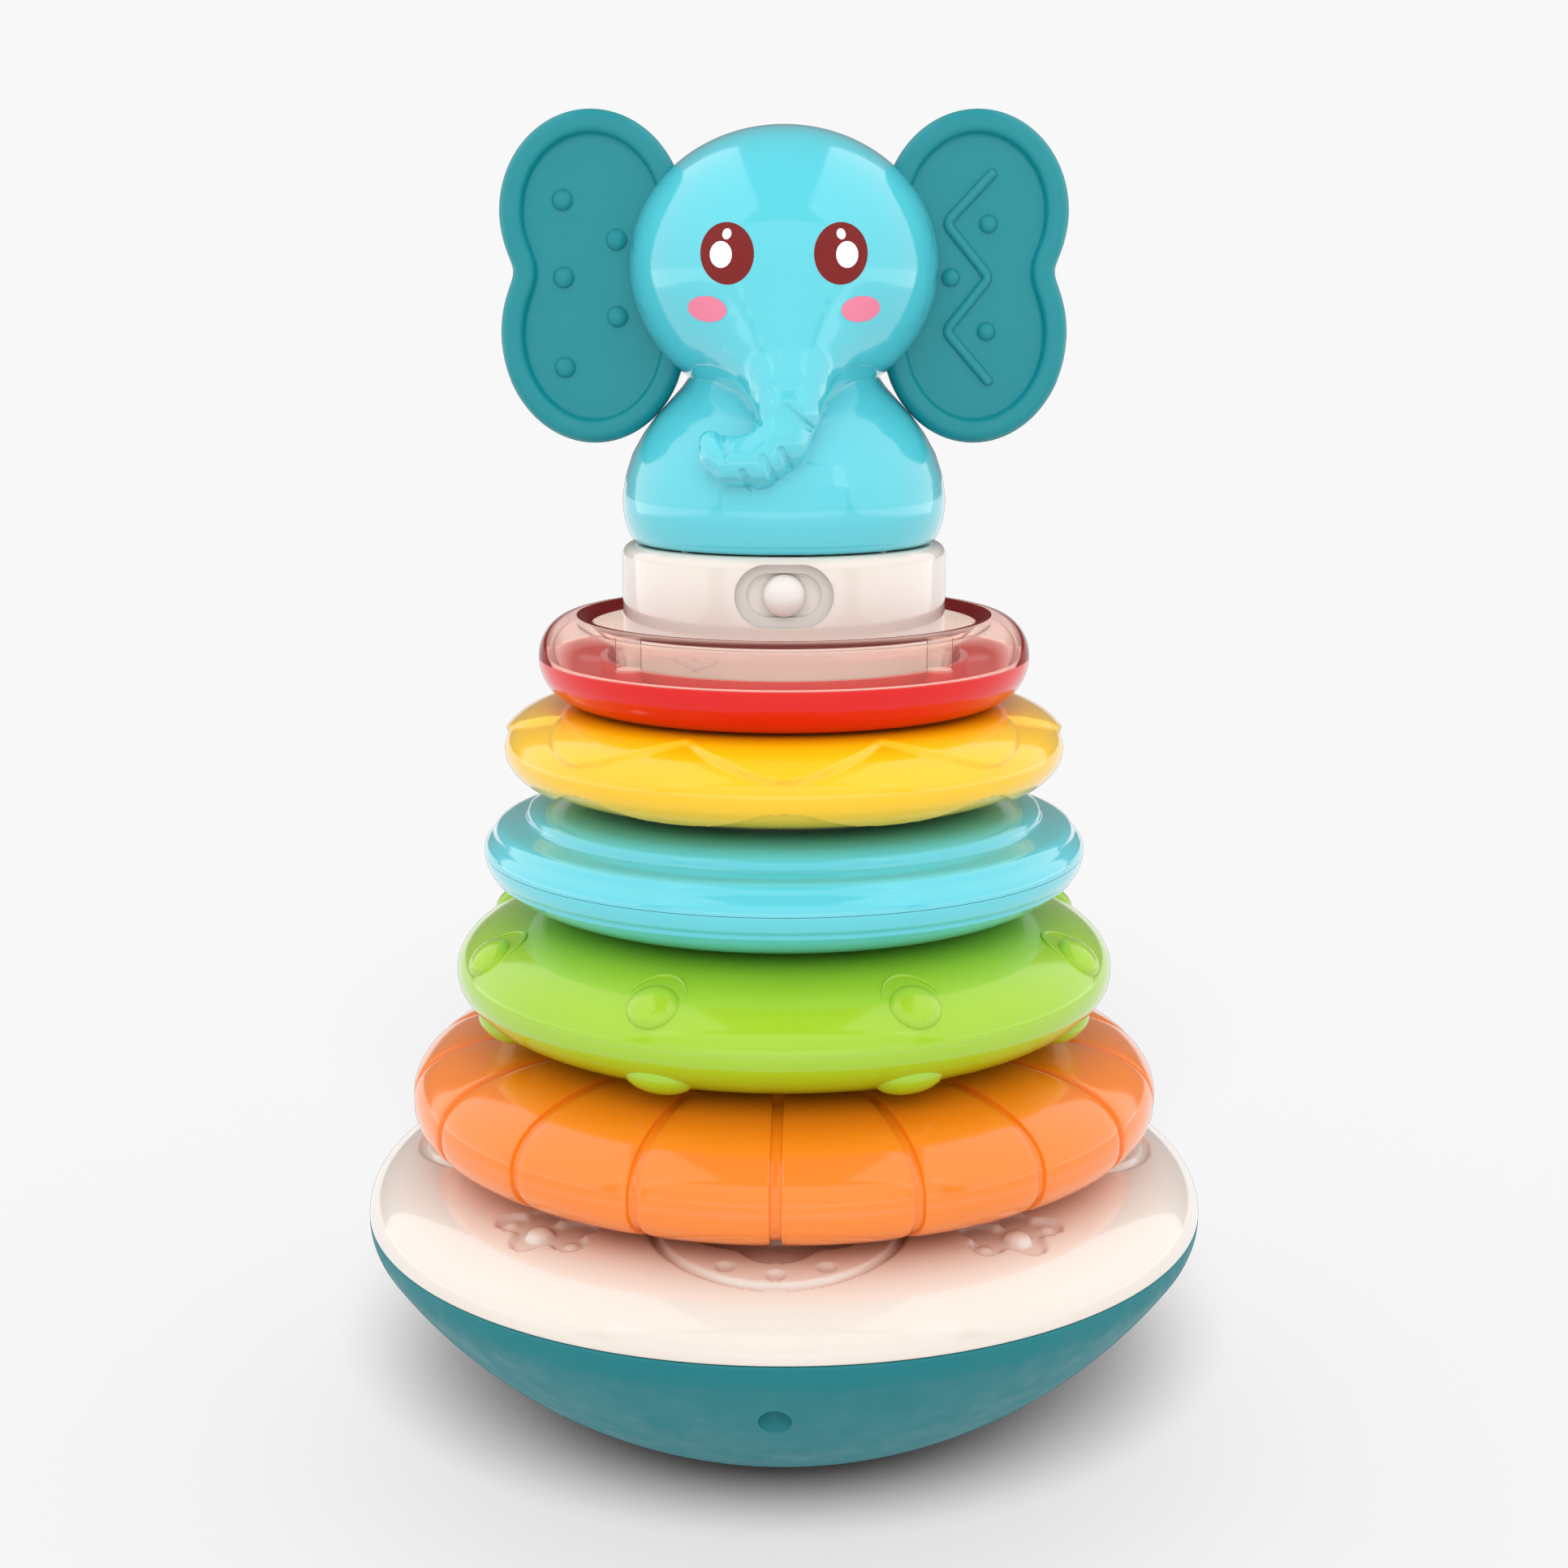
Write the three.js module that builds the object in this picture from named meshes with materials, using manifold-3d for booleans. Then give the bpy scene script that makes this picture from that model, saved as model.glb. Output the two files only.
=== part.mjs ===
// Roly-poly stacking toy: a weighted rocking base with a hollow post, five rings and an elephant that
// holds a sound unit with a slide switch. Millimetres, +Z up, front towards -Y. The origin is the middle
// of the small flat foot. Heights are given above the seam between the two shells of the base.
import * as THREE from "three";
import { mergeVertices } from "three/addons/utils/BufferGeometryUtils.js";
import Module from "manifold-3d";

const wasm = await Module();
wasm.setup();

// ---------------------------------------------------------------- driving dimensions
const GAP = 0.3; // between pieces that touch
const WALL = 2; // moulded wall of the rings and the elephant
const RING_FACETS = 28;
const HOLLOW_FACETS = 16; // hollows are coarser than the outside they leave
const ELEPHANT_FACETS = 20;
const SCREW_FACETS = 8;
const TURN = (-91.2 * Math.PI) / 180; // where the base's and the orange ring's patterns start

// Base
const SPHERE_R = 99.5; // the surface it rocks on
const SPHERE_Z = 50.2;
const FOOT_R = 9;
const BASE_R = 84;
const RIM_FILLET = 10.5;
const BASE_WALL = 2.4;
const COVER_FLAT_R = 60;
const COVER_TOP = 12;
const COVER_POWER = 2.3;
const COVER_HOLE_R = 31;
const DISC_R = 27;
const DISC_AT = 47.6;
const DISC_GROOVE = 1.6;
const RELIEF_DEPTH = 1.3;
const FLOWER_AT = 68.5;
const FLOWER_R = 6.4;
const FLOWER_TURNS = [40, 140, 220, 320]; // degrees round from the front
const DISC_TURNS = [0, 90, 180, 270];
const BASE_SCREW_AT = 75.8;
const BASE_SCREW_HOLE_R = 3;
const WEIGHT_R = 40;
const WEIGHT_TOP = -33;
const WEIGHT_CLEAR = 1.2;
const WEIGHT_SCREW_AT = 28;

// Post
const POST_FOOT_R = 30.4;
const POST_TOP_R = 21.5;
const POST_LOW = 6.2;
const POST_TOP = 115;
const POST_FLANGE_R = 40;
const POST_SCREW_AT = 35.6;

// Rings: largest radius, radius of the crown line, hole radius, heights of underside, widest line and
// crown, and the power of the curve of the section (2 is an ellipse, more is squarer).
const RINGS = {
  orange: { outer: 74.6, crown: 44, hole: 35, low: 12.4, middle: 23.6, high: 36.7, power: 2.4 },
  green: { outer: 65.3, crown: 40, hole: 32.5, low: 37.1, middle: 49.6, high: 61.9, power: 2.05 },
  blue: { outer: 59.3, crown: 38, hole: 30.5, low: 62.3, middle: 73.2, high: 83.8, power: 2 },
  yellow: { outer: 55.2, crown: 38, hole: 28.5, low: 84.2, middle: 93.7, high: 102.3, power: 2.05 },
};

// Red ring
const RED = { outer: 47.9, crown: 39.5, low: 102.7, seam: 110.6, high: 119.5 };
const RED_HOLE_R = 26;
const RED_LEDGE = 105.3;
const RED_MOUTH_R = 38.6;
const RED_THROAT_R = 32.6;
const RED_BOSS_AT = 40.6;

// Elephant
const COLLAR_R = 31.4;
const COLLAR_LOW = 105.6;
const COLLAR_TOP = 133.4;
const COLLAR_WALL = 2;
const SOCKET_R = 23.2;
const SOCKET_ROOF = 117.2;
const FLOOR_THICK = 1.8;
const FLOOR_LOW = COLLAR_LOW + 2.2;
const FLOOR_SCREW_AT = 27.2;
const NECK_SCREW_AT = 25.9;
const BODY_LOW = 133.7;
const HEAD_Z = 186;
const HEAD_R = 29.4;
const HEAD_UP = 26;
const HEAD_DOWN = 26.8;
const NECK_Z = 164.6;
const EAR_X = 36.3;
const EAR_THICK = 8;
const EAR_PANEL = 4;
const EAR_RIM = 5;
const TAB_THICK = 3.4;
const SWITCH_Z = 126.4;
const SWITCH_FLAT_Y = -28.7;
const SWITCH_FLOOR = 1.5;
const KNOB_R = 3.9;
const CELL_R = 5.8;
const CELL_THICK = 5.4;

// ---------------------------------------------------------------- geometry helpers
// A three.js geometry as a manifold-3d solid.
function solid(geometry) {
  const bare = new THREE.BufferGeometry();
  bare.setAttribute("position", geometry.getAttribute("position"));
  bare.setIndex(geometry.index);
  const merged = mergeVertices(bare, 1e-4);
  const corners = merged.index.array;
  const triangles = [];
  for (let i = 0; i < corners.length; i += 3) {
    const [a, b, c] = [corners[i], corners[i + 1], corners[i + 2]];
    if (a !== b && b !== c && c !== a) triangles.push(a, b, c);
  }
  return new wasm.Manifold(
    new wasm.Mesh({
      numProp: 3,
      vertProperties: merged.attributes.position.array,
      triVerts: new Uint32Array(triangles),
    }),
  );
}

// The outside of a solid as a three.js geometry.
function geometryOf(body) {
  const mesh = body.getMesh();
  const geometry = new THREE.BufferGeometry();
  geometry.setAttribute("position", new THREE.BufferAttribute(mesh.vertProperties, 3));
  geometry.setIndex(new THREE.BufferAttribute(mesh.triVerts, 1));
  geometry.computeVertexNormals();
  return geometry;
}

// Twice the signed area of a closed profile: positive when it runs anticlockwise.
function turning(profile) {
  return profile.reduce((sum, [r, z], i) => {
    const [nextR, nextZ] = profile[(i + 1) % profile.length];
    return sum + r * nextZ - nextR * z;
  }, 0);
}

// A solid of revolution about Z from a profile of [radius, height] points, which either starts and ends
// on the axis or is closed by its own last side.
function turned(profile, facets = RING_FACETS) {
  const run = turning(profile) < 0 ? [...profile].reverse() : [...profile];
  const onAxis = run[0][0] === 0 && run.at(-1)[0] === 0;
  if (!onAxis) run.push(run[0]);
  const points = run.map(([r, z]) => new THREE.Vector2(r, z));
  return solid(new THREE.LatheGeometry(points, facets).rotateX(Math.PI / 2));
}

// Profile points on a superellipse about (r, z), from one angle to another, in degrees.
function bend(r, z, a, b, from, to, steps, power = 2) {
  return Array.from({ length: steps + 1 }, (_, i) => {
    const angle = THREE.MathUtils.degToRad(from + ((to - from) * i) / steps);
    const c = Math.cos(angle);
    const s = Math.sin(angle);
    const across = Math.sign(c) * Math.abs(c) ** (2 / power);
    const along = Math.sign(s) * Math.abs(s) ** (2 / power);
    return [r + a * across, z + b * along];
  });
}

function rod(radius, low, high, x = 0, y = 0, facets = SCREW_FACETS) {
  const geometry = new THREE.CylinderGeometry(radius, radius, high - low, facets);
  return solid(geometry.rotateX(Math.PI / 2).translate(x, y, (low + high) / 2));
}

// A rod that lies along Y, from one y to another.
function rodAlongY(radius, from, to, x, z, facets = SCREW_FACETS) {
  const geometry = new THREE.CylinderGeometry(radius, radius, to - from, facets);
  return solid(geometry.translate(x, (from + to) / 2, z));
}

function block([x0, x1], [y0, y1], [z0, z1]) {
  const geometry = new THREE.BoxGeometry(x1 - x0, y1 - y0, z1 - z0);
  return solid(geometry.translate((x0 + x1) / 2, (y0 + y1) / 2, (z0 + z1) / 2));
}

function ball(radius, x, y, z, flatten = 1) {
  const geometry = new THREE.SphereGeometry(radius, 8, 4).scale(1, 1, flatten);
  return solid(geometry.translate(x, y, z));
}

// A shape drawn in X and Y, extruded in Z.
function prism(shape, low, high, curveSegments = 8) {
  const settings = { depth: high - low, bevelEnabled: false, curveSegments };
  return solid(new THREE.ExtrudeGeometry(shape, settings).translate(0, 0, low));
}

// A shape drawn in X and Z, extruded in Y.
function upright(shape, from, to, curveSegments = 8) {
  const settings = { depth: to - from, bevelEnabled: false, curveSegments };
  const geometry = new THREE.ExtrudeGeometry(shape, settings);
  return solid(geometry.rotateX(Math.PI / 2).translate(0, to, 0));
}

// A slot-shaped outline: a rectangle with half-round ends, centred on (x, y).
function stadium(length, width, x, y) {
  const shape = new THREE.Shape();
  const half = (length - width) / 2;
  shape.absarc(x + half, y, width / 2, -Math.PI / 2, Math.PI / 2, false);
  shape.absarc(x - half, y, width / 2, Math.PI / 2, (3 * Math.PI) / 2, false);
  return shape;
}

// A round-ended limb through the given [x, y, z, radius] stations, closed at both ends.
function limb(stations, sides = 8) {
  const spine = new THREE.CatmullRomCurve3(stations.map(([x, y, z]) => new THREE.Vector3(x, y, z)));
  const steps = (stations.length - 1) * 2;
  const frames = spine.computeFrenetFrames(steps, false);
  const position = [];
  for (let i = 0; i <= steps; i++) {
    const share = (i / steps) * (stations.length - 1);
    const k = Math.min(Math.floor(share), stations.length - 2);
    const radius = THREE.MathUtils.lerp(stations[k][3], stations[k + 1][3], share - k);
    const centre = spine.getPoint(i / steps);
    for (let j = 0; j < sides; j++) {
      const angle = (2 * Math.PI * j) / sides;
      const out = frames.normals[i].clone().multiplyScalar(radius * Math.cos(angle));
      out.addScaledVector(frames.binormals[i], radius * Math.sin(angle)).add(centre);
      position.push(out.x, out.y, out.z);
    }
  }
  const index = [];
  for (let i = 0; i < steps; i++) {
    for (let j = 0; j < sides; j++) {
      const a = i * sides + j;
      const b = i * sides + ((j + 1) % sides);
      index.push(a, b, a + sides, b, b + sides, a + sides);
    }
  }
  const last = steps * sides;
  for (let j = 1; j < sides - 1; j++) {
    index.push(0, j + 1, j);
    index.push(last, last + j, last + j + 1);
  }
  const geometry = new THREE.BufferGeometry();
  geometry.setAttribute("position", new THREE.Float32BufferAttribute(position, 3));
  geometry.setIndex(index);
  return solid(geometry);
}

const joined = (first, ...rest) => rest.reduce((whole, part) => whole.add(part), first);
const cut = (first, ...rest) => rest.reduce((whole, part) => whole.subtract(part), first);

// Points spread evenly round a circle, as [x, y, angle].
function around(radius, count, start = TURN) {
  return Array.from({ length: count }, (_, i) => {
    const angle = start + (2 * Math.PI * i) / count;
    return [radius * Math.cos(angle), radius * Math.sin(angle), angle];
  });
}

// Points on a circle at given turns from the front, in degrees, as [x, y, angle].
function turnedTo(radius, turns) {
  return turns.map((turn) => around(radius, 1, TURN + THREE.MathUtils.degToRad(turn))[0]);
}

// ---------------------------------------------------------------- materials
const plastic = (color, roughness = 0.22) => new THREE.MeshStandardMaterial({ color, roughness, metalness: 0 });
const metal = (color, roughness) => new THREE.MeshStandardMaterial({ color, roughness, metalness: 1 });
const TEAL = plastic(0x2f8f99);
const CREAM = plastic(0xece2d8);
const SKY = plastic(0x66d0dd);
const ORANGE = plastic(0xf5852f);
const GREEN = plastic(0x9fce33);
const YELLOW = plastic(0xfbc814);
const CLEAR = new THREE.MeshStandardMaterial({ color: 0xf8e6e4, roughness: 0.08, transparent: true, opacity: 0.35 });
const RED_PLASTIC = plastic(0xe3261f);
const KNOB_GREY = plastic(0xd9d2cb, 0.35);
const DARK_PLASTIC = plastic(0x333336, 0.6);
const BOARD_GREEN = plastic(0x1f6b3c, 0.6);
const IRON = metal(0x55524f, 0.7);
const STEEL = metal(0xb9bcc0, 0.3);

// ---------------------------------------------------------------- fasteners
// A pan-head screw that points up, its head's underside at z = 0.
function screw(headRadius, headHeight, shankRadius, length) {
  return turned(
    [
      [0, -headHeight],
      [headRadius, -headHeight * 0.5],
      [headRadius, 0],
      [shankRadius, 0],
      [shankRadius, length],
      [0, length],
    ],
    SCREW_FACETS,
  );
}

const NECK_SCREW = screw(2.5, 1.6, 1, 8);
const FLOOR_SCREW = screw(1.9, 1.4, 1, 8);
const POST_SCREW = screw(2.4, 1.5, 1, 4.6);
const DOOR_SCREW = screw(1.8, 0.9, 1, 3);
const WEIGHT_SCREW = screw(5.6, 2.4, 1.3, 8.5);
const BASE_SCREW = screw(2.5, 1.8, 1.2, 10);
const SHELL_SCREW = screw(2.6, 1.8, 1, 15);

// ---------------------------------------------------------------- base
const coverCurve = (inset, steps) =>
  bend(COVER_FLAT_R, 0, BASE_R - COVER_FLAT_R - inset, COVER_TOP - inset, 0, 90, steps, COVER_POWER);

// Half of the section of the rocking shell, inset from the outside, from the bottom to the seam.
function bowlCurve(inset, startAngle, steps) {
  const meet = 55.7;
  return [
    ...bend(0, SPHERE_Z, SPHERE_R - inset, SPHERE_R - inset, startAngle - 90, meet - 90, steps),
    ...bend(BASE_R - RIM_FILLET, 0, RIM_FILLET - inset, RIM_FILLET - inset, meet - 90 + 11, 0, 2),
  ];
}

function makeBowl() {
  const footAngle = THREE.MathUtils.radToDeg(Math.asin(FOOT_R / SPHERE_R));
  const outside = turned([[0, -FOOT_DROP], ...bowlCurve(0, footAngle, 7), [0, 0]]);
  const inside = turned([...bowlCurve(BASE_WALL, 0, 4), [BASE_R - BASE_WALL, 5], [0, 5]], HOLLOW_FACETS);
  let bowl = outside.subtract(inside);
  for (const [x, y] of around(BASE_SCREW_AT, 4)) {
    bowl = bowl.add(bowlSkin(rod(BASE_SCREW_HOLE_R + 1.6, -30, -4, x, y)));
    bowl = bowl.subtract(rod(BASE_SCREW_HOLE_R, -40, -6, x, y));
    bowl = bowl.subtract(rod(1.5, -20, 0, x, y));
  }
  for (const [x, y] of around(WEIGHT_SCREW_AT, 3, 0)) {
    bowl = bowl.add(bowlSkin(rod(4, -50, WEIGHT_TOP - 3, x, y)));
    bowl = bowl.subtract(rod(1.6, WEIGHT_TOP - 9, 0, x, y));
  }
  return bowl;
}

// The part of a boss that lies inside the rocking shell's outer surface.
function bowlSkin(boss) {
  const inside = turned([[0, SPHERE_Z - SPHERE_R + 1], ...bowlCurve(1, 1, 4), [0, 0]]);
  return boss.intersect(inside);
}

const FOOT_DROP = Math.sqrt(SPHERE_R ** 2 - FOOT_R ** 2) - SPHERE_Z; // from the seam down to the foot

function makeWeight() {
  const radius = SPHERE_R - BASE_WALL - WEIGHT_CLEAR;
  const edge = THREE.MathUtils.radToDeg(Math.asin(WEIGHT_R / radius));
  const under = bend(0, SPHERE_Z, radius, radius, -90, edge - 90, 5);
  under[0][0] = 0;
  const weight = turned([...under, [WEIGHT_R, WEIGHT_TOP], [0, WEIGHT_TOP]], HOLLOW_FACETS);
  return cut(weight, ...around(WEIGHT_SCREW_AT, 3, 0).map(([x, y]) => rod(4.4, -60, 0, x, y)));
}

// A flower with five round petals, drawn about (x, y) with its first petal pointing along an angle.
function flower(x, y, angle) {
  const points = Array.from({ length: 20 }, (_, i) => {
    const turn = (2 * Math.PI * i) / 20;
    const reach = FLOWER_R * (1 + 0.24 * Math.cos(5 * turn));
    return new THREE.Vector2(x + reach * Math.cos(turn + angle), y + reach * Math.sin(turn + angle));
  });
  return new THREE.Shape(points);
}

function makeCover() {
  const outside = turned([[0, GAP / 2], [BASE_R, GAP / 2], ...coverCurve(0, 4).slice(1), [0, COVER_TOP]]);
  const inside = turned(
    [[0, -5], [BASE_R - BASE_WALL, -5], ...coverCurve(BASE_WALL, 3), [0, COVER_TOP - BASE_WALL]],
    HOLLOW_FACETS,
  );
  const core = turned([
    [0, -1],
    [BASE_R - RELIEF_DEPTH, -1],
    ...coverCurve(RELIEF_DEPTH, 3),
    [0, COVER_TOP - RELIEF_DEPTH],
  ]);
  let cover = outside.subtract(inside).subtract(rod(COVER_HOLE_R, 0, 20, 0, 0, RING_FACETS));
  for (const [x, y] of turnedTo(DISC_AT, DISC_TURNS)) {
    const groove = rod(DISC_R, 0, 20, x, y, 16).subtract(rod(DISC_R - DISC_GROOVE, 0, 20, x, y, 16));
    cover = cover.subtract(groove.subtract(core));
  }
  for (const [x, y, angle] of turnedTo(FLOWER_AT, FLOWER_TURNS)) {
    cover = cover.subtract(prism(flower(x, y, angle), 0, 20).subtract(core));
    cover = cover.add(ball(1.9, x, y, COVER_TOP - 2.2));
  }
  for (const [x, y] of around(BASE_SCREW_AT, 4)) {
    const boss = rod(3.4, -3.6, COVER_TOP, x, y).intersect(outside.add(rod(3.4, -3.6, 2, x, y)));
    cover = cover.add(boss.subtract(rod(1.5, -4, 5.5, x, y)));
  }
  for (const [x, y] of around(POST_SCREW_AT, 4, Math.PI / 4)) {
    cover = cover.subtract(rod(1.3, 0, COVER_TOP - 1, x, y));
  }
  return cover;
}

function makePost() {
  const flangeTop = COVER_TOP - BASE_WALL - GAP;
  const post = turned([
    [POST_FLANGE_R, POST_LOW],
    [POST_FLANGE_R, flangeTop],
    [POST_FOOT_R, flangeTop],
    [POST_TOP_R, POST_TOP - 3],
    ...bend(POST_TOP_R - 2.5, POST_TOP - 2.5, 2.5, 2.5, 15, 90, 3),
    [0, POST_TOP],
    [0, POST_TOP - WALL],
    [POST_TOP_R - WALL - 1, POST_TOP - WALL],
    [POST_FOOT_R - WALL, POST_LOW],
  ]);
  return cut(post, ...around(POST_SCREW_AT, 4, Math.PI / 4).map(([x, y]) => rod(1.3, 0, 20, x, y)));
}

// ---------------------------------------------------------------- rings
// The closed section of a ring, inset from its outside.
function ringSection(ring, inset, steps) {
  const backSteps = Math.ceil(steps / 2);
  const up = ring.high - ring.middle - inset;
  const down = ring.middle - ring.low - inset;
  const out = ring.outer - ring.crown - inset;
  const back = ring.crown - ring.hole - inset;
  return [
    ...bend(ring.crown, ring.middle, out, down, -90, 0, steps, ring.power),
    ...bend(ring.crown, ring.middle, out, up, 0, 90, steps, ring.power).slice(1),
    ...bend(ring.crown, ring.middle, back, up, 90, 180, backSteps, 4).slice(1),
    ...bend(ring.crown, ring.middle, back, down, 180, 270, backSteps, 4).slice(1, -1),
  ];
}

const ringHollow = (ring) => turned(ringSection(ring, WALL, 2), HOLLOW_FACETS);

// Hollows a ring and cuts it at its widest line into a lower and an upper shell.
function ringShells(ring, outside = turned(ringSection(ring, 0, 4)), hollow = ringHollow(ring)) {
  const shell = outside.subtract(hollow);
  const reach = [-ring.outer - 5, ring.outer + 5];
  const lower = shell.intersect(block(reach, reach, [ring.low - 5, ring.middle - GAP / 2]));
  const upper = shell.intersect(block(reach, reach, [ring.middle + GAP / 2, ring.high + 9]));
  return [lower, upper];
}

function makeBlue() {
  const ring = RINGS.blue;
  const steps = [
    [57.6, 76.6],
    [56.6, 77.8],
    [50.4, 79.6],
    [50.4, 81.4],
  ];
  const section = ringSection(ring, 0, 4).filter(([r, z]) => z < ring.middle + 1 || r < 49);
  const at = section.findIndex(([, z]) => z > ring.middle + 1);
  section.splice(at, 0, ...steps);
  return ringShells(ring, turned(section), ringHollow({ ...ring, high: ring.high - 2.2 }));
}

function makeRed() {
  const { outer, crown, low, seam, high } = RED;
  const arcOut = outer - crown;
  const lower = turned([
    ...bend(crown, seam, arcOut, seam - low, 0, -90, 4).map(([r, z]) => [r, Math.min(z, seam - GAP / 2)]),
    [RED_HOLE_R + 0.8, low],
    [RED_HOLE_R, low + 0.8],
    [RED_HOLE_R, RED_LEDGE],
    [RED_THROAT_R + WALL, RED_LEDGE],
    [RED_THROAT_R + WALL, seam - GAP / 2],
    [RED_THROAT_R + WALL + 1.4, seam - GAP / 2],
    [RED_THROAT_R + WALL + 1.4, low + WALL],
    ...bend(crown, seam, arcOut - WALL, seam - low - WALL, -90, 0, 2).map(([r, z]) => [r, Math.min(z, seam - GAP / 2)]),
  ]);
  const upper = turned([
    ...bend(crown + 1, seam, arcOut - 1, high - seam, 0, 90, 4).map(([r, z]) => [r, Math.max(z, seam + GAP / 2)]),
    [RED_MOUTH_R, high - 0.7],
    [RED_MOUTH_R - 2.4, high - 3.6],
    [RED_THROAT_R + 0.8, seam + 3],
    [RED_THROAT_R, seam],
    [RED_THROAT_R, RED_LEDGE + GAP],
    [RED_THROAT_R + 1.6, RED_LEDGE + GAP],
    [RED_THROAT_R + 1.6, seam + GAP],
    [RED_THROAT_R + 2.4, seam + 2.6],
    [RED_MOUTH_R, high - 3.2],
    ...bend(crown + 1, seam, arcOut - 1 - 1.8, high - seam - 1.8, 90, 0, 3).map(([r, z]) => [r, Math.max(z, seam + GAP / 2)]),
  ]);
  let base = lower;
  let lid = upper;
  for (const [x, y] of around(RED_BOSS_AT, 4, Math.PI / 4)) {
    base = base.add(rod(2.6, low + 1, seam + 0.8, x, y)).subtract(rod(1.5, low + 2.4, seam + 2, x, y));
    lid = lid.add(rod(2.4, seam + 1.2, high - 1, x, y)).add(rod(1.2, low + 4, seam + 2, x, y));
  }
  return [base, lid];
}

// ---------------------------------------------------------------- elephant
// Half of the section of the elephant's body and head, inset from the outside.
function elephantProfile(inset, steps) {
  const body = new THREE.SplineCurve(
    [
      [29.6, BODY_LOW + 1],
      [31.1, 139.5],
      [30.4, 147],
      [27, 154.4],
      [21.5, 161],
      [18.2, NECK_Z - 0.6],
    ].map(([r, z]) => new THREE.Vector2(r - inset, z)),
  );
  const neck = (18.2 - inset) / (HEAD_R - inset);
  const start = -THREE.MathUtils.radToDeg(Math.acos(neck));
  const head = bend(0, HEAD_Z, HEAD_R - inset, HEAD_DOWN - inset, start, 0, Math.ceil(steps / 2));
  const crown = bend(0, HEAD_Z, HEAD_R - inset, HEAD_UP - inset, 0, 90, Math.ceil(steps / 2)).slice(1);
  crown.at(-1)[0] = 0;
  return [
    [0, BODY_LOW - inset],
    [28.6 - inset, BODY_LOW - inset],
    ...body.getPoints(steps).map((p) => [p.x, p.y]),
    ...head,
    ...crown,
  ];
}

// The outline of one ear, on the side given by its sign, drawn in X and Z and shrunk by an inset.
function earOutline(side, inset) {
  const upper = { z: 195.7, a: 17.5 - inset, b: 19 - inset };
  const lower = { z: 173, a: 17.6 - inset, b: 20.4 - inset };
  const points = [];
  for (const [lobe, from, to] of [
    [upper, -24, 204],
    [lower, 156, 384],
  ]) {
    for (const [x, z] of bend(0, lobe.z, lobe.a, lobe.b, from, to, 14)) points.push([x, z]);
  }
  return new THREE.Shape(points.map(([x, z]) => new THREE.Vector2(side * EAR_X + side * x, z)));
}

const headSolid = (inflate) =>
  turned(
    [
      ...bend(0, HEAD_Z, HEAD_R + inflate, HEAD_DOWN + inflate, -90, 0, 6).map(([r, z], i) => [i ? r : 0, z]),
      ...bend(0, HEAD_Z, HEAD_R + inflate, HEAD_UP + inflate, 0, 90, 6).map(([r, z], i) => [i < 6 ? r : 0, z]),
    ],
    ELEPHANT_FACETS,
  );

const TAB = { inner: 20, outer: 34, low: 176, high: 196 };

const earTab = (side, grow) => {
  const xs = [side * TAB.inner - side * grow, side * TAB.outer].sort((a, b) => a - b);
  const half = TAB_THICK / 2 + grow;
  return block(xs, [-half, half], [TAB.low - grow, TAB.high + grow]);
};

function makeEar(side) {
  const half = EAR_THICK / 2;
  const panel = EAR_PANEL / 2;
  let ear = upright(earOutline(side, 0), -half, half);
  ear = cut(
    ear,
    upright(earOutline(side, EAR_RIM), -half - 1, -panel),
    upright(earOutline(side, EAR_RIM), panel, half + 1),
  );
  ear = ear.add(upright(earOutline(side, EAR_RIM + 1), -panel, panel));
  return ear.subtract(headSolid(GAP)).add(earTab(side, 0));
}

const SHELL_SCREWS = [
  [-20, 146],
  [20, 146],
  [0, 200],
];

function makeShells() {
  const outside = turned(elephantProfile(0, 5), ELEPHANT_FACETS);
  const inside = turned(elephantProfile(WALL, 3), HOLLOW_FACETS);
  const hollow = cut(outside, inside, earTab(-1, GAP), earTab(1, GAP));
  const wide = [-60, 60];
  let front = hollow.intersect(block(wide, [-60, -GAP / 2], [BODY_LOW, 240]));
  let rear = hollow.intersect(block(wide, [GAP / 2, 60], [BODY_LOW, 240]));
  for (const [x, z] of SHELL_SCREWS) {
    front = front.add(rodAlongY(2.8, -40, -GAP / 2, x, z).intersect(outside));
    front = front.subtract(rodAlongY(1.3, -12, 0, x, z));
    rear = rear.add(rodAlongY(4.4, GAP / 2, 40, x, z).intersect(outside));
    rear = rear.subtract(rodAlongY(3.2, 6, 60, x, z)).subtract(rodAlongY(1.3, 0, 8, x, z));
  }
  for (const [x, y] of around(NECK_SCREW_AT, 4, Math.PI / 4)) {
    const boss = rod(2.8, BODY_LOW, 144, x, y).intersect(outside).subtract(rod(1.3, BODY_LOW - 1, 142, x, y));
    if (y < 0) front = front.add(boss);
    else rear = rear.add(boss);
  }
  const trunk = limb([
    [0, -18, 176, 8],
    [0.3, -24, 167, 6.4],
    [1, -28, 160, 5.6],
    [-0.8, -29.5, 153.6, 4.6],
    [-5.5, -30.5, 150.6, 3.9],
    [-10.4, -29.6, 151, 3.3],
    [-13.2, -28, 153.6, 2.6],
  ]);
  front = front.add(trunk.subtract(inside));
  for (const [dx, dz] of [
    [0, 0],
    [-3, 0],
    [3, 0],
    [0, 3],
    [0, -3],
  ]) {
    rear = rear.subtract(rodAlongY(0.8, 20, 40, dx, 152 + dz, 6));
  }
  return [front, rear];
}

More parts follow.
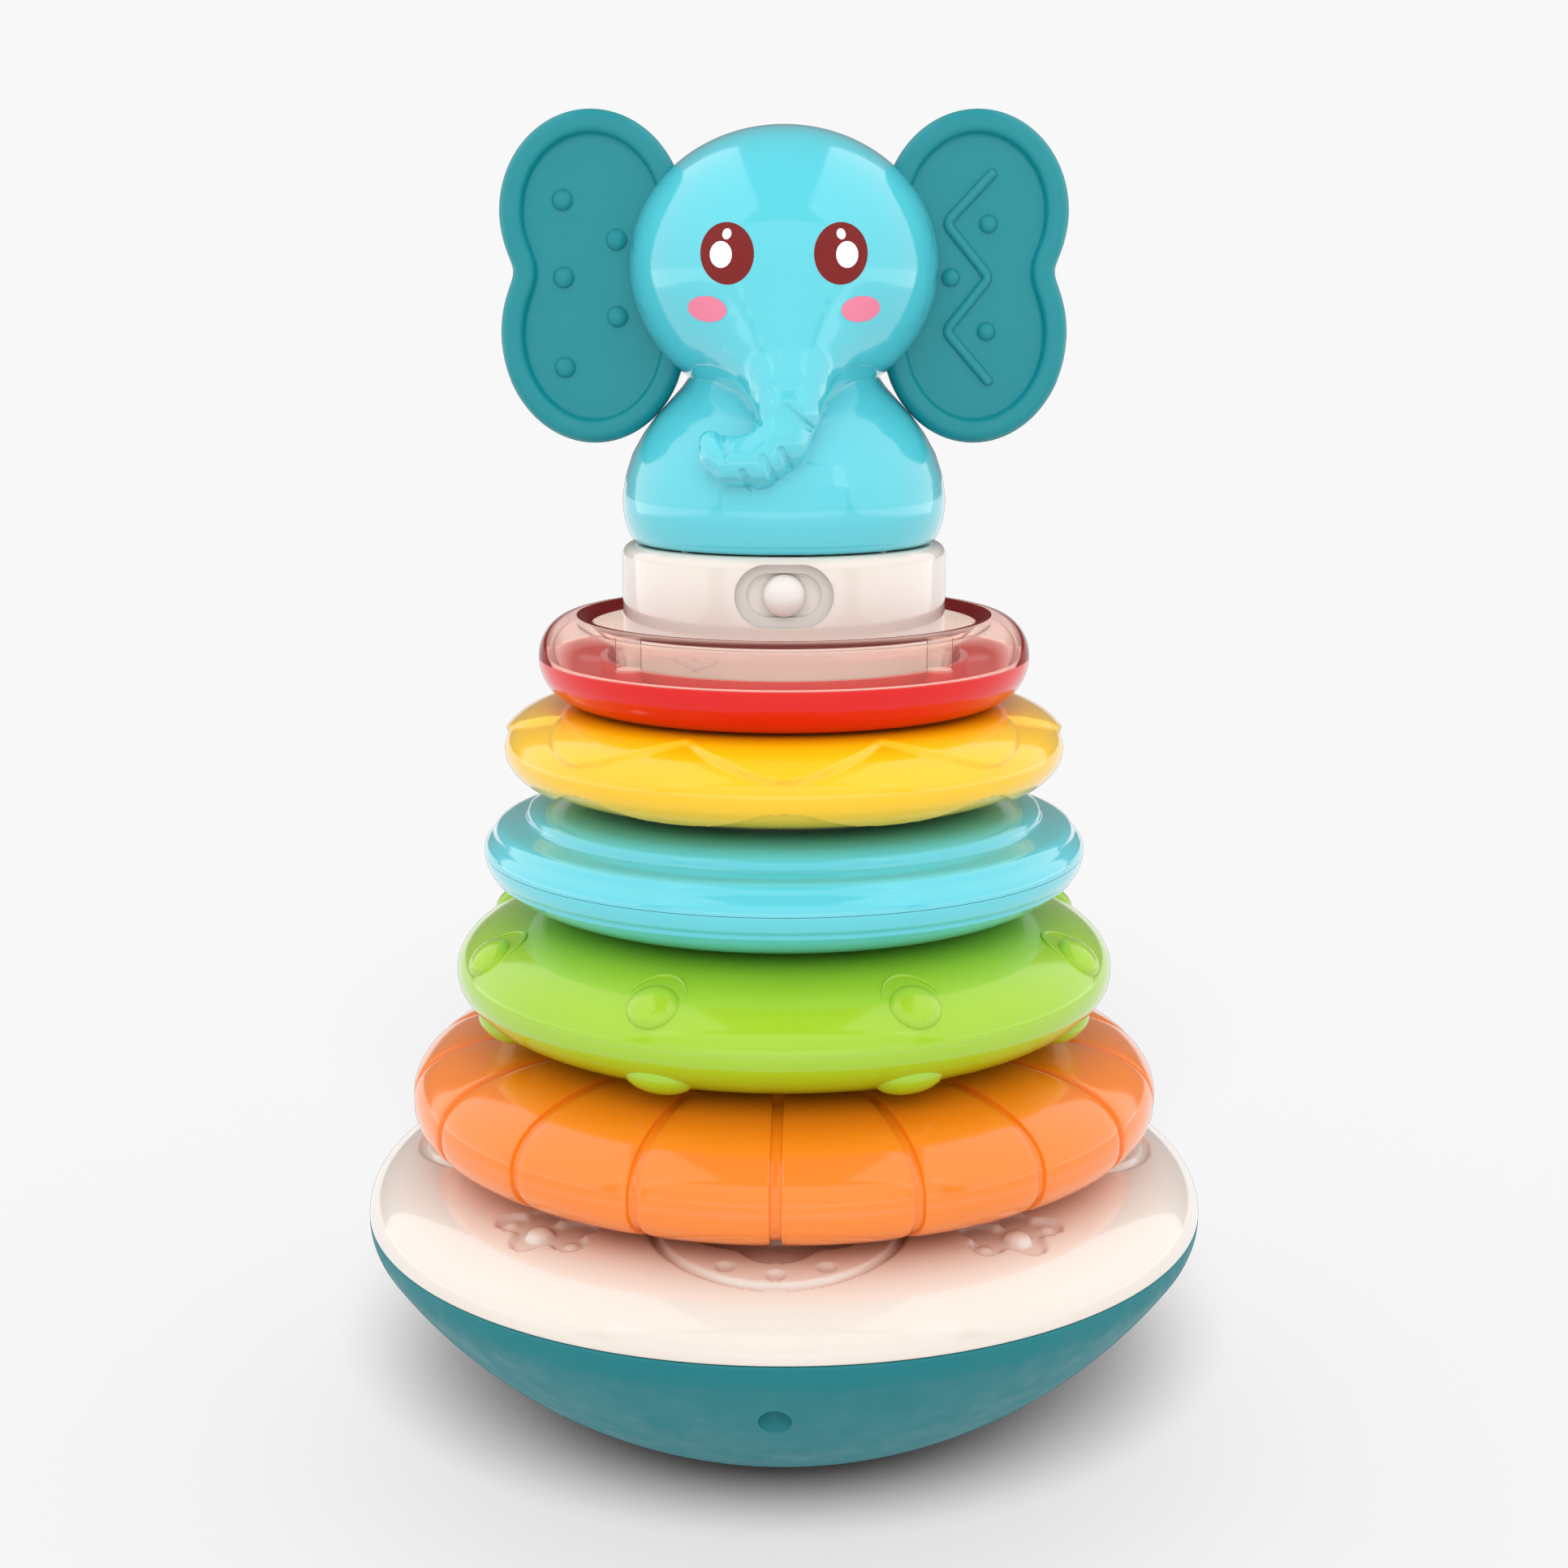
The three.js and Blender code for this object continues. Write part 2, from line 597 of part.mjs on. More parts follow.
function makeCollar() {
  const inner = COLLAR_R - COLLAR_WALL;
  const body = turned(
    [
      [COLLAR_R, COLLAR_LOW],
      ...bend(COLLAR_R - 2.2, COLLAR_TOP - 2.2, 2.2, 2.2, 0, 90, 3),
      [9, COLLAR_TOP],
      [9, COLLAR_TOP - COLLAR_WALL],
      [inner, COLLAR_TOP - COLLAR_WALL],
      [inner, COLLAR_LOW],
    ],
    RING_FACETS,
  );
  const pocket = upright(stadium(18.5, 12.1, 0, SWITCH_Z), -COLLAR_R - 2, SWITCH_FLAT_Y, 4);
  const pad = upright(stadium(20.5, 14.1, 0, SWITCH_Z), -30, SWITCH_FLAT_Y + SWITCH_FLOOR, 4);
  const slot = upright(stadium(14.3, 8.4, 0, SWITCH_Z), -40, -20, 4);
  let collar = body.add(pad).subtract(pocket).subtract(slot);
  for (const [x, y] of around(NECK_SCREW_AT, 4, Math.PI / 4)) collar = collar.subtract(rod(1.3, 120, 140, x, y));
  const bossLow = FLOOR_LOW + FLOOR_THICK + GAP;
  for (const [x, y] of around(FLOOR_SCREW_AT, 3, Math.PI / 2)) {
    const boss = rod(1.9, bossLow, COLLAR_TOP - 1, x, y);
    collar = collar.add(boss).subtract(rod(1.1, bossLow - 1, bossLow + 9, x, y));
  }
  return collar;
}

// The lower housing of the sound unit: a floor ring, and a cup that the post's top goes into.
function makeFloor() {
  const rim = COLLAR_R - COLLAR_WALL - GAP;
  const floor = turned(
    [
      [rim, FLOOR_LOW],
      [rim, FLOOR_LOW + FLOOR_THICK],
      [SOCKET_R + FLOOR_THICK, FLOOR_LOW + FLOOR_THICK],
      [SOCKET_R + FLOOR_THICK, SOCKET_ROOF + FLOOR_THICK],
      [0, SOCKET_ROOF + FLOOR_THICK],
      [0, SOCKET_ROOF],
      [SOCKET_R, SOCKET_ROOF],
      [SOCKET_R, FLOOR_LOW],
    ],
    ELEPHANT_FACETS,
  );
  const bay = block([-18.2, 18.2], [-6.8, 6.8], [SOCKET_ROOF - 1, SOCKET_ROOF + 4]);
  const seat = block([-19, 19], [-10.6, 10.6], [SOCKET_ROOF - 1, SOCKET_ROOF + 0.8]);
  const sides = cut(
    block([-20, 20], [-8.4, 8.4], [SOCKET_ROOF + 1, SOCKET_ROOF + 7]),
    block([-18.2, 18.2], [-6.8, 6.8], [SOCKET_ROOF, SOCKET_ROOF + 8]),
  );
  let housing = floor.add(sides).subtract(bay).subtract(seat).subtract(rod(1.3, 110, 125, 0, 9));
  for (const [x, y] of around(FLOOR_SCREW_AT, 3, Math.PI / 2)) {
    housing = housing.subtract(rod(1.3, FLOOR_LOW - 1, FLOOR_LOW + FLOOR_THICK + 1, x, y));
  }
  return housing;
}

function makeDoor() {
  const plate = block([-18.7, 18.7], [-10.3, 10.3], [SOCKET_ROOF - 0.6, SOCKET_ROOF + 0.5]);
  return plate.subtract(rod(1.3, 110, 125, 0, 9));
}

// The knob with its stem and the slider plate behind the slot.
function makeKnob() {
  const knob = rodAlongY(KNOB_R, SWITCH_FLAT_Y - 0.6, SWITCH_FLAT_Y + SWITCH_FLOOR + 0.6, 0, SWITCH_Z, 16);
  const dome = new THREE.SphereGeometry(KNOB_R, 16, 8).scale(1, 0.45, 1);
  const cap = solid(dome.translate(0, SWITCH_FLAT_Y - 0.6, SWITCH_Z));
  const back = SWITCH_FLAT_Y + SWITCH_FLOOR + GAP;
  const plate = block([-8.4, 8.4], [back, back + 1.1], [SWITCH_Z - 4.9, SWITCH_Z + 4.9]);
  return joined(knob, cap, plate);
}

function makeSpeaker() {
  return turned(
    [
      [0, COLLAR_TOP + GAP],
      [7, COLLAR_TOP + GAP],
      [7, COLLAR_TOP + 2.6],
      [14, COLLAR_TOP + 3.6],
      [14, COLLAR_TOP + 5],
      [12.5, COLLAR_TOP + 5],
      [6, COLLAR_TOP + 3.6],
      [0, COLLAR_TOP + 4.2],
    ],
    20,
  );
}

// ---------------------------------------------------------------- assembly
const toy = new THREE.Group();
const aboveSeam = new THREE.Group();
aboveSeam.position.z = FOOT_DROP;
toy.add(aboveSeam);

function place(group, name, body, finish, position = [0, 0, 0], rotation = [0, 0, 0]) {
  const mesh = new THREE.Mesh(geometryOf(body), finish);
  mesh.name = name;
  mesh.position.set(...position);
  mesh.rotation.set(...rotation);
  group.add(mesh);
}

function buildBase() {
  const base = new THREE.Group();
  place(base, "base_bowl", makeBowl(), TEAL);
  place(base, "base_weight", makeWeight(), IRON);
  around(WEIGHT_SCREW_AT, 3, 0).forEach(([x, y], i) => {
    place(base, `weight_screw_${i + 1}`, WEIGHT_SCREW, STEEL, [x, y, WEIGHT_TOP + GAP], [Math.PI, 0, 0]);
  });
  place(base, "base_cover", makeCover(), CREAM);
  around(BASE_SCREW_AT, 4).forEach(([x, y], i) => {
    place(base, `base_screw_${i + 1}`, BASE_SCREW, STEEL, [x, y, -6 - GAP]);
  });
  place(base, "post", makePost(), CREAM);
  around(POST_SCREW_AT, 4, Math.PI / 4).forEach(([x, y], i) => {
    place(base, `post_screw_${i + 1}`, POST_SCREW, STEEL, [x, y, POST_LOW - GAP]);
  });
  return base;
}

function buildRings() {
  const rings = new THREE.Group();
  for (const [name, make, lowerFinish, upperFinish] of [
    ["orange", () => ringShells(RINGS.orange), ORANGE, ORANGE],
    ["green", () => ringShells(RINGS.green), GREEN, GREEN],
    ["blue", makeBlue, SKY, SKY],
    ["yellow", () => ringShells(RINGS.yellow), YELLOW, YELLOW],
    ["red", makeRed, RED_PLASTIC, CLEAR],
  ]) {
    const [lower, upper] = make();
    place(rings, `${name}_ring_lower`, lower, lowerFinish);
    place(rings, `${name}_ring_upper`, upper, upperFinish);
  }
  return rings;
}

function buildSoundUnit() {
  const unit = new THREE.Group();
  place(unit, "collar", makeCollar(), CREAM);
  place(unit, "collar_floor", makeFloor(), CREAM);
  around(FLOOR_SCREW_AT, 3, Math.PI / 2).forEach(([x, y], i) => {
    place(unit, `floor_screw_${i + 1}`, FLOOR_SCREW, STEEL, [x, y, FLOOR_LOW - GAP]);
  });
  place(unit, "battery_door", makeDoor(), CREAM);
  place(unit, "door_screw", DOOR_SCREW, STEEL, [0, 9, SOCKET_ROOF - 0.6 - GAP]);
  [-12, 0, 12].forEach((x, i) => {
    const low = SOCKET_ROOF + 0.8;
    place(unit, `battery_${i + 1}`, rod(CELL_R, low, low + CELL_THICK, x, 0, 16), STEEL);
  });
  const boardLow = SOCKET_ROOF + 9;
  place(unit, "circuit_board", block([-17, 17], [-12, 12], [boardLow, boardLow + 1.2]), BOARD_GREEN);
  const housing = block([-6, 6], [-24.6, -19], [SWITCH_Z - 3, SWITCH_Z + 3]);
  place(unit, "slide_switch", housing, DARK_PLASTIC);
  place(unit, "switch_knob", makeKnob(), KNOB_GREY);
  place(unit, "speaker", makeSpeaker(), DARK_PLASTIC);
  return unit;
}

function buildElephant() {
  const elephant = new THREE.Group();
  const [front, rear] = makeShells();
  place(elephant, "elephant_front", front, SKY);
  place(elephant, "elephant_rear", rear, SKY);
  place(elephant, "left_ear", makeEar(-1), TEAL);
  place(elephant, "right_ear", makeEar(1), TEAL);
  SHELL_SCREWS.forEach(([x, z], i) => {
    place(elephant, `shell_screw_${i + 1}`, SHELL_SCREW, STEEL, [x, 6 + GAP, z], [Math.PI / 2, 0, 0]);
  });
  around(NECK_SCREW_AT, 4, Math.PI / 4).forEach(([x, y], i) => {
    place(elephant, `neck_screw_${i + 1}`, NECK_SCREW, STEEL, [x, y, COLLAR_TOP - COLLAR_WALL - GAP]);
  });
  return elephant;
}

aboveSeam.add(buildBase(), buildRings(), buildSoundUnit(), buildElephant());

export default toy;
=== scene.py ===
import math

import bmesh
import bpy
import numpy as np
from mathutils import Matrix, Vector


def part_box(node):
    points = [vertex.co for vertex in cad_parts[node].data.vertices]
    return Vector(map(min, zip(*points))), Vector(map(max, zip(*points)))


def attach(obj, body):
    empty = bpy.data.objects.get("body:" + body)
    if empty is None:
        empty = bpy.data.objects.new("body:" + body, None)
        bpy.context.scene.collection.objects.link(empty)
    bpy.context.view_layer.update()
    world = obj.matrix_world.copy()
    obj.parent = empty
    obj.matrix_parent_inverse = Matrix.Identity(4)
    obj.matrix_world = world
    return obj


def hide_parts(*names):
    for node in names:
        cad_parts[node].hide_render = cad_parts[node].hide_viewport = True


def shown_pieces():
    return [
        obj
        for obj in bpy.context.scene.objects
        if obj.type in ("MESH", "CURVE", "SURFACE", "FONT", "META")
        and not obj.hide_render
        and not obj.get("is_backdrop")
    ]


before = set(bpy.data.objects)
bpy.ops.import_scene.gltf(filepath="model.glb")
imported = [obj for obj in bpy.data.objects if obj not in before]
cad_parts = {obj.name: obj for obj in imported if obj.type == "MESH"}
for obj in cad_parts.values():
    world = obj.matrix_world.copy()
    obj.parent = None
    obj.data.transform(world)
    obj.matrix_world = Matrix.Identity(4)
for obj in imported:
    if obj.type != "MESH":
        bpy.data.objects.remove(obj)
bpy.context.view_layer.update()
scene = bpy.context.scene

# Lengths are in millimetres and heights are above the seam between the base's two shells. The front is -Y.
MM = 0.001
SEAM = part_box("base_bowl")[1].z
TURN = math.radians(-91.2)  # where the base's and the orange ring's patterns start
WALL = 2.0
SIDES = ((-1, "left"), (1, "right"))
HAIRLINE = 0.05  # half of the gap between two shells
TIGHT = 0.008  # the same where no line shows


def reach(node):
    """Largest distance of a node from the Z axis along X."""
    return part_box(node)[1].x / MM


def low_of(node):
    return (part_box(node)[0].z - SEAM) / MM


def high_of(node):
    return (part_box(node)[1].z - SEAM) / MM


def turns(count):
    return np.arange(count) * 2 * math.pi / count


def full_turn(count):
    return TURN + turns(count)


def smooth_step(low, high, value):
    t = np.clip((value - low) / (high - low), 0, 1)
    return t * t * (3 - 2 * t)


# -------- meshes
def placed(name, data):
    obj = bpy.data.objects.new(name, data)
    scene.collection.objects.link(obj)
    return obj


def shade(mesh, sharp):
    """Smooth shading that breaks at edges sharper than an angle in degrees."""
    mesh.polygons.foreach_set("use_smooth", [True] * len(mesh.polygons))
    mesh.set_sharp_from_angle(angle=math.radians(sharp))


class Mesh:
    """Points and faces gathered from several surfaces, with a material index for each face."""

    def __init__(self):
        self.points = []
        self.faces = []
        self.slots = []
        self.count = 0

    def add(self, surface, slot=0):
        points, faces = surface
        self.points.append(np.asarray(points, float))
        for face in faces:
            self.faces.append(tuple(int(i) + self.count for i in face))
        self.slots += list(slot) if np.ndim(slot) else [slot] * len(faces)
        self.count += len(points)
        return self

    def build(self, name, materials, sharp=35):
        mesh = bpy.data.meshes.new(name)
        points = np.concatenate(self.points) * MM
        points[:, 2] += SEAM
        mesh.from_pydata(points.tolist(), [], self.faces)
        for material in materials:
            mesh.materials.append(material)
        mesh.polygons.foreach_set("material_index", self.slots)
        shade(mesh, sharp)
        mesh.update()
        return placed(name, mesh)


def stand_in(obj, body, slot, *nodes):
    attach(obj, body)
    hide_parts(*nodes)


def arc(r, z, a, b, start, end, steps, power=2.0):
    """Points on a superellipse about (r, z), between two angles in degrees."""
    angle = np.radians(np.linspace(start, end, steps + 1))
    c, s = np.cos(angle), np.sin(angle)
    across = np.sign(c) * np.abs(c) ** (2 / power)
    along = np.sign(s) * np.abs(s) ** (2 / power)
    return np.stack([r + a * across, z + b * along], 1)


def even(points, step):
    """A path resampled at about even steps, with its ends kept."""
    points = np.array(points, float)
    run = np.r_[0, np.cumsum(np.linalg.norm(np.diff(points, axis=0), axis=1))]
    stops = np.linspace(0, run[-1], max(2, int(round(run[-1] / step)) + 1))
    return np.stack([np.interp(stops, run, points[:, k]) for k in range(points.shape[1])], 1)


def revolve(profile, angles, relief=None, closed=True, lips=()):
    """A profile turned about Z, lifted along its normal by relief(angle, r, z).

    lips are the first and last rows of a side that keep their own normals.
    """
    profile = np.asarray(profile, float)
    before, after = np.roll(profile, 1, 0), np.roll(profile, -1, 0)
    if lips:
        before[lips[0]], after[lips[1]] = profile[lips[0]], profile[lips[1]]
    if not closed:
        before[0], after[-1] = profile[0], profile[-1]
    run = after - before
    run /= np.maximum(np.linalg.norm(run, axis=1), 1e-9)[:, None]
    angles = np.atleast_2d(angles) * np.ones((len(profile), 1))
    r, z = profile[:, :1], profile[:, 1:]
    lift = relief(angles, r, z) if relief else np.zeros_like(angles)
    radius, height = r + run[:, 1:] * lift, z - run[:, :1] * lift
    points = np.stack([radius * np.cos(angles), radius * np.sin(angles), height], 2)
    return points.reshape(-1, 3), grid_faces(*angles.shape, closed)


def grid_faces(rows, columns, closed):
    i = np.arange(rows if closed else rows - 1)[:, None]
    j = np.arange(columns)[None, :]
    k, m = (i + 1) % rows, (j + 1) % columns
    quads = np.stack([i * columns + j, i * columns + m, k * columns + m, k * columns + j], 2)
    return quads.reshape(-1, 4).tolist()


def tube_faces(rows, sides):
    """Faces of a tube of so many rows, with both ends closed."""
    ends = [list(range(sides))[::-1], [(rows - 1) * sides + j for j in range(sides)]]
    return grid_faces(rows, sides, False) + ends


def ellipsoid(centre, axes, sizes, rings=10, sides=24):
    """A closed ellipsoid with three given axis directions and half sizes."""
    polar = np.linspace(0, math.pi, rings + 1)[1:-1]
    p, a = np.meshgrid(polar, turns(sides), indexing="ij")
    local = np.stack([np.sin(p) * np.cos(a), np.sin(p) * np.sin(a), np.cos(p)], 2).reshape(-1, 3)
    local = np.concatenate([local, [[0, 0, 1], [0, 0, -1]]])
    points = np.asarray(centre) + (local * sizes) @ np.asarray(axes, float)
    faces = [[f[3], f[2], f[1], f[0]] for f in grid_faces(rings - 1, sides, False)]
    top, bottom, last = len(points) - 2, len(points) - 1, (rings - 2) * sides
    for j in range(sides):
        k = (j + 1) % sides
        faces.append([top, j, k])
        faces.append([bottom, last + k, last + j])
    return points, faces


CAP_ANGLES = [90, 67, 45, 22]  # where the rows of a tube's round end lie
ON_AXIS = 0.01  # a radius small enough to look closed


def tube(path, radius, sides=12):
    """A closed round tube along a path, with round ends. radius is one number or one for each point."""
    path = np.asarray(path, float)
    radius = np.broadcast_to(np.asarray(radius, float), len(path)).copy()
    run = np.gradient(path, axis=0)
    run /= np.linalg.norm(run, axis=1)[:, None]
    ends = []
    for end, sign in ((0, -1), (-1, 1)):
        cap = []
        for c in np.radians(CAP_ANGLES):
            centre = path[end] + sign * run[end] * radius[end] * math.sin(c)
            cap.append((centre, max(radius[end] * math.cos(c), ON_AXIS)))
        ends.append(cap)
    stations = ends[0] + list(zip(path, radius)) + ends[1][::-1]
    directions = [run[0]] * len(CAP_ANGLES) + list(run) + [run[-1]] * len(CAP_ANGLES)
    side = np.cross(directions[0], [0.3, 1.0, 0.2])
    points = []
    for (centre, size), direction in zip(stations, directions):
        side = side - direction * (side @ direction)
        side /= np.linalg.norm(side)
        up = np.cross(direction, side)
        around = np.outer(np.cos(turns(sides)), side) + np.outer(np.sin(turns(sides)), up)
        points.append(centre + size * around)
    return np.concatenate(points), tube_faces(len(stations), sides)


def rounded(path, times):
    """A path with its corners cut, over and over."""
    path = np.asarray(path, float)
    for _ in range(times):
        a, b = path[:-1], path[1:]
        middle = np.stack([a * 0.75 + b * 0.25, a * 0.25 + b * 0.75], 1).reshape(-1, path.shape[1])
        path = np.concatenate([path[:1], middle, path[-1:]])
    return path


def with_corners(path, short):
    """A path with extra points close to its corners, so that only the corners are rounded later."""
    path = np.asarray(path, float)
    made = [path[0]]
    for before, corner, after in zip(path[:-2], path[1:-1], path[2:]):
        for end in (before, after):
            made.append(corner + (end - corner) * short / np.linalg.norm(end - corner))
            if end is before:
                made.append(corner)
    return np.array(made + [path[-1]])


def circle(radius, a, b, sides):
    return np.stack([a + radius * np.cos(turns(sides)), b + radius * np.sin(turns(sides))], 1)


def column(radius, low, high, x, y, sides=32):
    """A closed upright cylinder."""
    ring = circle(radius, x, y, sides)
    return np.concatenate([np.insert(ring, 2, z, 1) for z in (low, high)]), tube_faces(2, sides)


def stadium(length, width, z):
    """The outline of a slot with round ends, as [x, z] points."""
    half, end = (length - width) / 2, width / 2
    return np.concatenate([arc(half, z, end, end, -90, 90, 24), arc(-half, z, end, end, 90, 270, 24)])


def slab(outline, front, back):
    """An outline in X and Z as a closed plate between two values of Y."""
    points = np.concatenate([np.insert(outline, 1, y, 1) for y in (front, back)])
    return points, [f[::-1] for f in tube_faces(2, len(outline))]


def cut(obj, *surfaces, operation="DIFFERENCE"):
    """A boolean of obj with closed surfaces that lie apart, applied."""
    tool = Mesh()
    for surface in surfaces:
        tool.add(surface)
    tool = tool.build("cutter", [])
    modifier = obj.modifiers.new("cut", "BOOLEAN")
    modifier.operation, modifier.solver, modifier.object = operation, "EXACT", tool
    mesh = bpy.data.meshes.new_from_object(obj.evaluated_get(bpy.context.evaluated_depsgraph_get()))
    obj.modifiers.clear()
    obj.data = mesh
    shade(mesh, 30)
    bpy.data.objects.remove(tool)


# -------- materials
def linear(red, green, blue):
    def one(value):
        value /= 255
        return value / 12.92 if value <= 0.04045 else ((value + 0.055) / 1.055) ** 2.4

    return one(red), one(green), one(blue), 1.0


def wire(tree, node, values):
    """Gives inputs of a node their values, or links them to sockets."""
    for name, value in values.items():
        if isinstance(value, bpy.types.NodeSocket):
            tree.links.new(value, node.inputs[name])
        else:
            node.inputs[name].default_value = value
    return node.outputs


def added(tree, kind, values):
    return wire(tree, tree.nodes.new("ShaderNode" + kind), values)


def noise(tree, where, scale, detail, roughness=0.5):
    values = {"Vector": where, "Scale": scale, "Detail": detail, "Roughness": roughness}
    return added(tree, "TexNoise", values)["Fac"]


def ranged(tree, value, span, to):
    values = {"Value": value, "From Min": span[0], "From Max": span[1], "To Min": to[0], "To Max": to[1]}
    return added(tree, "MapRange", values)["Result"]


def combined(tree, operation, *values):
    node = tree.nodes.new("ShaderNodeMath")
    node.operation = operation
    return wire(tree, node, dict(enumerate(values)))[0]


def mixed(tree, share, first, second):
    node = tree.nodes.new("ShaderNodeMix")
    node.data_type = "RGBA"
    return wire(tree, node, {0: share, 6: first, 7: second})[2]


# Scale, detail and roughness of the noise for the drift of colour, the gloss and the surface.
DRIFT = (22, 3)
SMEAR = (140, 6, 0.65)
GRAIN = (900, 4, 0.6)
NOISE_SPAN = (0.3, 0.7)
SHARP_EDGE_POINTINESS = (0.53, 0.62)  # the pointiness from which a sharp edge is drawn lighter
PAINTED_SHADE_SPAN = (0.89, 0.95)  # where the clear shell turns deep red, a painted shade, with 1 for a surface seen edge-on
UPRIGHT_SHADE_LEAD = 0.27  # how much sooner an upright surface turns to that painted shade
# the deep red of the painted shade on the clear shell where it is seen edge-on
EDGE_SHADE_RED = (134, 8, 2)


def finish_of(name, colour, roughness, coat, metallic=0.0, grain=0.012, shift=0.05, edge=0.1, gleam=0.5):
    """A moulded finish: slow drift of colour, fine texture, uneven gloss and lighter sharp edges."""
    material = bpy.data.materials.new(name)
    material.use_nodes = True
    tree = material.node_tree
    where = tree.nodes.new("ShaderNodeTexCoord").outputs["Object"]
    base = linear(*colour)[:3]
    deep = (*[c * (1 - shift) for c in base], 1.0)
    pale = (*[min(1.0, c * (1 + shift) + 0.004) for c in base], 1.0)
    lighter = (*[c + (1 - c) * 0.5 for c in base], 1.0)
    tone = mixed(tree, noise(tree, where, *DRIFT), deep, pale)
    pointiness = tree.nodes.new("ShaderNodeNewGeometry").outputs["Pointiness"]
    gloss = (roughness * 0.8, roughness * 1.25)
    bump = {"Strength": grain * 10, "Distance": 0.0002, "Height": noise(tree, where, *GRAIN)}
    wire(tree, tree.nodes["Principled BSDF"], {
        "Base Color": mixed(tree, ranged(tree, pointiness, SHARP_EDGE_POINTINESS, (0, edge)), tone, lighter),
        "Roughness": ranged(tree, noise(tree, where, *SMEAR), NOISE_SPAN, gloss),
        "Normal": added(tree, "Bump", bump)["Normal"],
        "Metallic": metallic,
        "Coat Weight": coat,
        "Coat Roughness": 0.04,
        "Specular IOR Level": gleam,
    })
    return material


def clear_with_painted_light(name, veil, share, glow):
    """A clear moulded finish with painted light: a thin pale veil that is seen through and grows towards
    grazing angles as a painted sheen, and a deep red painted shade where it is edge-on.

    share is how much of what is behind it a face hides, and glow the strength of a painted glow that it gives
    off though it is no lamp.
    """
    material = finish_of(name, veil, 0.06, 0.0, grain=0.004, edge=0.0)
    tree = material.node_tree
    surface = tree.nodes["Principled BSDF"]
    facing = tree.nodes.new("ShaderNodeLayerWeight").outputs["Facing"]
    normal = tree.nodes.new("ShaderNodeNewGeometry").outputs["Normal"]
    rise = combined(tree, "ABSOLUTE", added(tree, "SeparateXYZ", {0: normal})["Z"])
    upright = ranged(tree, rise, (0, 1), (UPRIGHT_SHADE_LEAD, 0))
    edge_shade = ranged(tree, combined(tree, "ADD", facing, upright), PAINTED_SHADE_SPAN, (0, 1))
    pale = surface.inputs["Base Color"].links[0].from_socket
    # The pale veil hides more of what is behind it towards grazing angles, a painted sheen, and all of it
    # where the painted edge shade is.
    solid = combined(tree, "MAXIMUM", ranged(tree, facing, (0.55, PAINTED_SHADE_SPAN[0]), (share, 0.6)), edge_shade)
    rays = tree.nodes.new("ShaderNodeLightPath").outputs
    indirect = combined(tree, "MAXIMUM", rays["Is Shadow Ray"], rays["Is Diffuse Ray"])
    # Painted shade in deep red where the shell is edge-on, and a painted glow in the veil's colour elsewhere.
    wire(tree, surface, {
        "Base Color": mixed(tree, edge_shade, pale, linear(*EDGE_SHADE_RED)),
        "Alpha": combined(tree, "MULTIPLY", solid, ranged(tree, indirect, (0, 1), (1, 0.1))),
        "Specular IOR Level": ranged(tree, edge_shade, (0, 1), (0.5, 0.02)),
        "Emission Color": linear(*veil),
        "Emission Strength": ranged(tree, edge_shade, (0, 1), (glow, 0)),
    })
    return material


CREAM = finish_of("cream_plastic", (232, 221, 211), 0.16, 0.8)
TEAL = finish_of("teal_plastic", (6, 120, 128), 0.5, 0.0, edge=0.0, gleam=0.3)
EAR_TEAL = finish_of("ear_teal_plastic", (8, 138, 147), 0.34, 0.0, gleam=0.35)
SKY = finish_of("sky_plastic", (84, 204, 218), 0.15, 0.8)
BLUE = finish_of("blue_ring_plastic", (90, 206, 220), 0.12, 0.8)
ORANGE = finish_of("orange_plastic", (247, 129, 18), 0.15, 0.5)
GREEN = finish_of("green_plastic", (160, 204, 24), 0.15, 0.5)
YELLOW = finish_of("yellow_plastic", (253, 198, 0), 0.15, 0.4)
RED = finish_of("red_plastic", (222, 12, 6), 0.12, 0.15, gleam=0.35)
# The clear shell's finishes carry painted light: a painted sheen, a painted glow and a deep red painted shade
# where edge-on. The throat's veil hides more and glows more, a painted glow that brightens what is seen
# through it.
CLEAR = clear_with_painted_light("clear_pink_painted_light", (255, 210, 196), 0.05, 0.3)
CLEAR_THROAT = clear_with_painted_light("clear_pink_throat_painted_light", (255, 224, 202), 0.2, 0.45)
# The lip's dark red is painted shade along the crest of the mouth.
CLEAR_LIP_SHADE = finish_of("clear_pink_lip_painted_shade", (112, 4, 2), 0.4, 0.0, gleam=0.05)
KNOB = finish_of("knob_plastic", (236, 230, 224), 0.3, 0.2)
# Painted shade: the pocket's floor and walls are a darker grey-beige than the cream, for the shade in the
# recess.
POCKET_SHADE = finish_of("pocket_painted_shade", (214, 207, 200), 0.35, 0.1)
DARK = finish_of("dark_plastic", (46, 46, 50), 0.55, 0.0)
BOARD = finish_of("circuit_board_green", (30, 104, 58), 0.45, 0.2)
IRON = finish_of("cast_iron", (84, 80, 76), 0.62, 0.0, metallic=0.8, grain=0.06, shift=0.2)
STEEL = finish_of("screw_steel", (186, 188, 192), 0.3, 0.0, metallic=1.0, grain=0.03, shift=0.1)
EYE = finish_of("printed_eye", (124, 32, 30), 0.28, 0.0, edge=0.0, gleam=0.15)
GLINT = finish_of("printed_white", (250, 250, 250), 0.28, 0.2, edge=0.0)
CHEEK = finish_of("printed_cheek", (236, 130, 158), 0.32, 0.0, edge=0.0, gleam=0.25)

